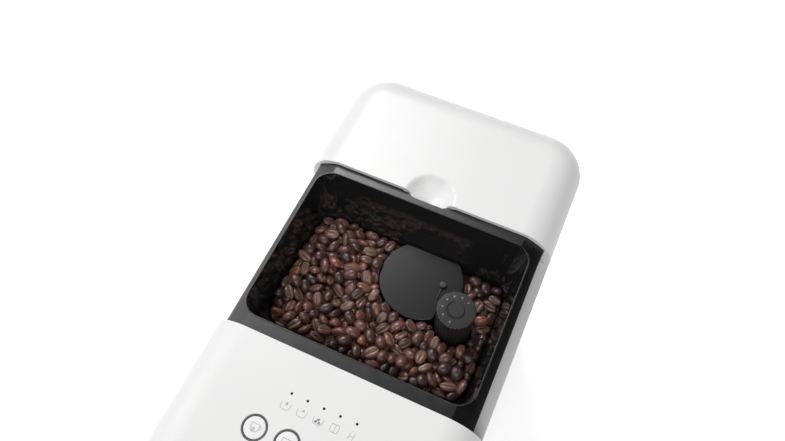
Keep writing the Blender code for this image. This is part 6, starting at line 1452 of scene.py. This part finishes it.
def base_outline():
    """Plan of the base: narrower under the tray, round at the rear."""
    near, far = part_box("base_plate")
    narrow = far.x - BASE_NARROWING
    right = arc((narrow - BASE_CORNER, near.y + BASE_CORNER), BASE_CORNER, 270, 360)
    right += [(narrow, SPLASH_FACE), (far.x, SPLASH_FACE)]
    return mirrored(right + arc((far.x - REAR_CORNER, far.y - REAR_CORNER), REAR_CORNER, 0, 90))


def make_base():
    """Black base plate on four rubber feet."""
    near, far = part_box("base_plate")
    base = plate("base_moulding", base_outline(), near.z, far.z)
    soften(smooth(base), FINE_EDGE)
    place(base, "machine", "black_satin", "base_plate")
    for node in ("foot_front_left", "foot_front_right", "foot_rear_left", "foot_rear_right"):
        near, far, centre = span(node)
        wide = far.x - centre.x
        profile = [(0, 0), (wide - FOOT_EDGE, 0), (wide, FOOT_EDGE), (FOOT_TOP, far.z), (0, far.z)]
        foot = smooth(revolve(node + "_pad", centre, profile, SMALL_STEPS), BLUNT_ANGLE)
        place(foot, "machine", "rubber", node)


def make_back_panel():
    """White back that wraps round both corners, with air slots and the inlet's window."""
    near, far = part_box("back_panel")
    panel = shell("back_shell", *[[rear_loop(inset, z, near.y) for z in (near.z, far.z)]
                                  for inset in (0, PANEL_WALL)])
    front = far.y - 2 * PANEL_WALL
    back = far.y + PANEL_WALL
    slot = [(x, z + VENT_LOWEST + VENT_WIDTH / 2) for x, z in slot_outline(VENT_HALF, VENT_WIDTH / 2)]
    tool = plate("slot", slot, front, back, "Y")
    cut(panel, repeated("slots", tool, VENT_COUNT, (0, 0, VENT_PITCH), "white_satin"))
    near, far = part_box("power_inlet")
    rim = INLET_FLANGE - SEAM_GAP
    window = round_rectangle((near.x + rim, near.z + rim), (far.x - rim, far.z - rim), SEAM_GAP)
    cut(panel, plate("inlet_window", window, front, back, "Y"))
    soften(smooth(panel), PANEL_EDGE / 2, FEW_STEPS)
    place(panel, "machine", "white_satin", "back_panel")


# Spout, tray and tank

SPOUT_CORNER = 0.012
SPOUT_DEPTH = 0.042
NECK_HALF = 0.010
SLIDER_HALF = 0.018
SLIDER_THICK = 0.004
NECK_TOP = 0.012
NOZZLE_BORE = 0.0034
NOZZLE_LIP = 0.0005
NOZZLE_SOCKET = 0.008
TRAY_WALL = 0.0025
TRAY_FLOOR = 0.003
TRAY_CORNER = 0.024
TRAY_NARROW = 0.063
TRAY_REAR_HEIGHT = 0.022
TRAY_GAP = 0.001
GRILLE_INSET = 0.0012
GRILLE_EDGE = 0.0005
SLOT_WIDTH = 0.0042
SLOT_HALF = 0.032
SLOT_X = 0.037
SLOT_ROWS = 12
SLOT_PITCH = 0.0088
SLOT_FRONT = 0.016
FLOAT_HOLE = 0.0042
FLOAT_HEIGHT = 0.007
FLOAT_STEM = 0.003
FLOAT_ROUND = 0.001
BIN_WALL = 0.002
BIN_CORNER = 0.006
BIN_INSET = 0.0057
BIN_TOP_DROP = 0.0115
BIN_FRONT_LOW = 0.0615
HANDLE_HALF_WIDTH = 0.022
HANDLE_DROP = 0.020
HANDLE_HEIGHT = 0.012
HANDLE_DEPTH = 0.0018
TANK_WALL = 0.0025
TANK_CORNERS = (0.008, 0.008, 0.024, 0.024)
TANK_ROUND = 0.002
VALVE_HOLE = 0.0083


def make_spout():
    """Glossy spout carriage on its slider, with two steel nozzles."""
    near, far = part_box("spout_carriage")
    back = near.y + SPOUT_DEPTH
    corners = (SPOUT_CORNER, SPOUT_CORNER, FINE_EDGE, FINE_EDGE)
    spout = plate("spout_body", round_rectangle((near.x, near.y), (far.x, back), corners), near.z, SPOUT_TOP)
    slider = far.y - SLIDER_THICK
    join(spout, block("neck", (-NECK_HALF, back - FINE_EDGE, near.z + FINE_EDGE),
                      (NECK_HALF, slider + SLIDER_THICK / 2, SPOUT_TOP - NECK_TOP)))
    join(spout, block("slider", (-SLIDER_HALF, slider, near.z + FINE_EDGE), (SLIDER_HALF, far.y, far.z)))
    for node in ("spout_nozzle_left", "spout_nozzle_right"):
        end, top, centre = span(node)
        radius = top.x - centre.x
        cut(spout, drum("socket", centre, radius + SEAM_GAP, near.z - COVER_WALL, near.z + NOZZLE_SOCKET))
        profile = [(NOZZLE_BORE, top.z), (NOZZLE_BORE, end.z + NOZZLE_LIP), (NOZZLE_BORE + NOZZLE_LIP, end.z),
                   (radius - NOZZLE_LIP, end.z), (radius, end.z + NOZZLE_LIP), (radius, top.z)]
        tube = smooth(revolve(node + "_tube", centre, profile), BLUNT_ANGLE)
        place(tube, "spout", "steel", node)
    soften(smooth(spout), FINE_EDGE)
    place(spout, "spout", "black_gloss", "spout_carriage")


def tray_outline(inset):
    """Plan of the tray: wide before the splash panel, narrow behind it."""
    near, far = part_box("drip_tray")
    corner = TRAY_CORNER - inset
    half = far.x - inset
    step = SPLASH_FACE - TRAY_GAP - inset
    narrow = TRAY_NARROW - inset
    right = arc((half - corner, near.y + inset + corner), corner, 270, 360)
    return mirrored(right + [(half, step), (narrow, step), (narrow, far.y - inset)])


def make_tray():
    """Black drip tray, low behind the splash panel."""
    near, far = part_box("drip_tray")
    tray = plate("tray_moulding", tray_outline(0), near.z, far.z)
    cut(tray, plate("tray_space", tray_outline(TRAY_WALL), near.z + TRAY_FLOOR, far.z + TRAY_WALL))
    cut(tray, block("tray_rear", (near.x, SPLASH_FACE - TRAY_GAP / 2, near.z + TRAY_REAR_HEIGHT),
                    (far.x, far.y + TRAY_WALL, far.z + TRAY_WALL)))
    soften(smooth(tray), FINE_EDGE)
    place(tray, "tray", "black_satin", "drip_tray")


def make_grille():
    """Steel grille with two rows of slots and a hole for the float."""
    near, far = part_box("drip_grille")
    corner = TRAY_CORNER - GRILLE_INSET
    outline = round_rectangle(near, far, (corner, corner, GRILLE_INSET, GRILLE_INSET))
    hole = circle(middle("tray_float"), FLOAT_HOLE, TINY_STEPS)
    grille = plate("grille_plate", outline, near.z, far.z, holes=(hole,))
    centred = slot_outline(SLOT_HALF, SLOT_WIDTH / 2)
    for side in (-1, 1):
        slot = [(x + side * SLOT_X, y + near.y + SLOT_FRONT) for x, y in centred]
        tool = plate("slot", slot, near.z - TRAY_WALL, far.z + TRAY_WALL)
        cut(grille, repeated("slots", tool, SLOT_ROWS, (0, SLOT_PITCH, 0), "steel"))
    soften(smooth(grille), GRILLE_EDGE)
    place(grille, "grille", "steel", "drip_grille")


def make_float():
    """Red float with the stem that shows in the grille."""
    near, far, centre = span("tray_float")
    wide = far.x - centre.x
    shoulder = near.z + FLOAT_HEIGHT
    profile = [(0, near.z), (wide - FLOAT_ROUND, near.z), (wide, near.z + FLOAT_ROUND)]
    profile += arc((wide - FLOAT_ROUND, shoulder - FLOAT_ROUND), FLOAT_ROUND, 0, 90, FINE_STEPS)
    profile.append((FLOAT_STEM, shoulder))
    profile += arc((FLOAT_STEM - FLOAT_ROUND, far.z - FLOAT_ROUND), FLOAT_ROUND, 0, 90, FINE_STEPS)
    profile.append((0, far.z))
    pin = smooth(revolve("float_moulding", centre, profile, SMALL_STEPS), BLUNT_ANGLE)
    place(pin, "float", "red_float", "tray_float")


def make_bin():
    """Open grounds container whose front plate closes the splash panel."""
    near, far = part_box("grounds_container")
    half = far.x - BIN_INSET
    rim = far.z - BIN_TOP_DROP
    corners = (2 * BIN_WALL, 2 * BIN_WALL, BIN_CORNER, BIN_CORNER)
    box = plate("bin_moulding", round_rectangle((-half, near.y), (half, far.y), corners), near.z, rim)
    join(box, block("bin_front", (near.x, near.y, BIN_FRONT_LOW), (far.x, near.y + PANEL_WALL, far.z)))
    space = round_rectangle((-half + BIN_WALL, near.y + PANEL_WALL), (half - BIN_WALL, far.y - BIN_WALL),
                            [corner - BIN_WALL for corner in corners])
    cut(box, plate("bin_space", space, near.z + BIN_WALL, rim + BIN_WALL))
    top = far.z - HANDLE_DROP
    handle = round_rectangle((-HANDLE_HALF_WIDTH, top - HANDLE_HEIGHT), (HANDLE_HALF_WIDTH, top),
                             HANDLE_HEIGHT / 3)
    cut(box, plate("bin_grip", handle, near.y - PANEL_WALL, near.y + HANDLE_DEPTH, "Y"))
    soften(smooth(box), PANEL_EDGE)
    place(box, "tray", "black_satin", "grounds_container")


def make_tank():
    """Clear smoky water tank with a rounded foot and rim."""
    near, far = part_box("water_tank")
    foot = near.z + TANK_ROUND
    floor = near.z + TANK_WALL + TANK_ROUND
    rim = TANK_WALL / 2
    rings = [(TANK_ROUND - x, foot + z) for x, z in arc((0, 0), TANK_ROUND, -90, 0, EDGE_STEPS)]
    rings += [(rim - x, far.z - rim + z) for x, z in arc((0, 0), rim, 0, 180, BEND_STEPS)]
    rings += [(TANK_WALL + TANK_ROUND - x, floor + z)
              for x, z in arc((0, 0), TANK_ROUND, 0, -90, EDGE_STEPS)]
    loops = []
    for inset, z in rings:
        outline = round_rectangle((near.x + inset, near.y + inset), (far.x - inset, far.y - inset),
                                  [corner - inset for corner in TANK_CORNERS])
        loops.append([(x, y, z) for x, y in outline])
    tank = loft("tank_moulding", loops)
    valve = middle("tank_valve")
    cut(tank, drum("valve_hole", valve, VALVE_HOLE, near.z - TANK_WALL, near.z + 2 * TANK_WALL,
                   SMALL_STEPS))
    place(smooth(tank, MIDDLE_ANGLE), "tank", "clear_tank", "water_tank")


# Camera, lights and floor

def aimed(name, thing, where, direction):
    """A camera or a lamp at a place, turned along a direction."""
    holder = link(name, thing)
    holder.location = where
    holder.rotation_euler = Vector(direction).to_track_quat("-Z", "Y").to_euler()
    return holder


def make_camera():
    """Camera at the photograph's place."""
    eye = bpy.data.cameras.new("camera")
    eye.lens = CAMERA_LENS
    eye.sensor_width = CAMERA_SENSOR
    eye.clip_start = CAMERA_NEAR
    bpy.context.scene.camera = aimed("camera", eye, CAMERA_PLACE, CAMERA_AIM)


def make_lamps():
    """Broad soft lamps: the key high at the back left, one in front and a faint one at the left."""
    for name, where, width, depth, watts in LAMPS:
        lamp = bpy.data.lights.new(name, "AREA")
        lamp.shape = "RECTANGLE"
        lamp.size = width
        lamp.size_y = depth
        lamp.energy = watts
        aimed(name, lamp, where, Vector(LAMP_AIM) - Vector(where))


def make_surroundings():
    """Pale room: white behind the object, plain light all round, and gloss that is brighter on the left."""
    world = bpy.data.worlds.new("studio")
    bpy.context.scene.world = world
    world.use_nodes = True
    tree = world.node_tree
    path = add(tree, "ShaderNodeLightPath").outputs
    where = add(tree, "ShaderNodeTexCoord").outputs["Generated"]
    across = add(tree, "ShaderNodeSeparateXYZ", {"Vector": where}).outputs["X"]
    brighter = number(tree, "POWER", GLOSS_RATIO, number(tree, "MULTIPLY", across, -1.0))
    level = add(tree, "ShaderNodeMapRange", {"Value": path["Is Glossy Ray"], "To Min": WORLD_LIGHT,
                                             "To Max": number(tree, "MULTIPLY", brighter, WORLD_GLOSS)})
    seen = number(tree, "MAXIMUM", level.outputs["Result"], path["Is Camera Ray"])
    wire(tree, tree.nodes["Background"], {"Color": (1, 1, 1, 1), "Strength": seen})


def make_floor():
    """White floor that shows the object's shadow."""
    shape = bmesh.new()
    bmesh.ops.create_grid(shape, x_segments=1, y_segments=1, size=FLOOR_SIZE)
    floor = from_bmesh("floor", shape)
    made, tree, shader, _ = surface("floor_white", FLOOR_COLOUR, FLOOR_ROUGHNESS, specular=0.0)
    path = add(tree, "ShaderNodeLightPath").outputs
    seen = path["Is Camera Ray"]
    for output in ("Is Glossy Ray", "Is Transmission Ray"):
        seen = number(tree, "MAXIMUM", seen, path[output])
    wire(tree, shader, {"Emission Color": (1, 1, 1, 1),
                        "Emission Strength": number(tree, "MULTIPLY", seen, FLOOR_GLOW)})
    floor.data.materials.append(made)


# Frame nodes that keep their shape

KEPT_EDGE = 0.0004
KEPT_WELD = 0.00001
KEPT_NODES = (
    "head_underside", "splash_panel", "power_inlet", "chassis", "spout_guide", "tank_valve",
    "tank_seat", "knob_pinion", "adjust_ring", "ring_burr", "cone_burr", "burr_shaft",
    "grinder_housing", "grinder_gearmotor", "coffee_chute", "brew_frame", "brew_cylinder",
    "brew_piston", "brew_spindle", "brew_motor", "boiler", "pump", "pump_cradle", "flow_meter",
    "panel_board", "control_board",
)


def dress_frame():
    """Gives every node of the frame a procedural finish, and soft edges to those that keep their shape."""
    slots = {part["node"]: part["material_slot"] for part in frame["record"]["subparts"]}
    for name, thing in nodes.items():
        for slot in thing.material_slots:
            slot.material = finish(slots[name])
        if name in KEPT_NODES:
            thing.modifiers.new("weld", "WELD").merge_threshold = KEPT_WELD
            soften(thing, KEPT_EDGE, FEW_STEPS, MIDDLE_ANGLE)


for make in (
    make_camera, make_lamps, make_surroundings, make_floor, dress_frame, make_front_cover, make_rear_cover,
    make_side_panels, make_service_door, make_hopper, make_beans, make_grinder_cover, make_index_pin,
    make_knob, make_buttons, make_button_rings, make_lights_and_symbols, make_fascia, make_base,
    make_back_panel, make_spout, make_tray, make_grille, make_float, make_bin, make_tank,
):
    make()

bpy.context.scene.view_settings.view_transform = "Standard"
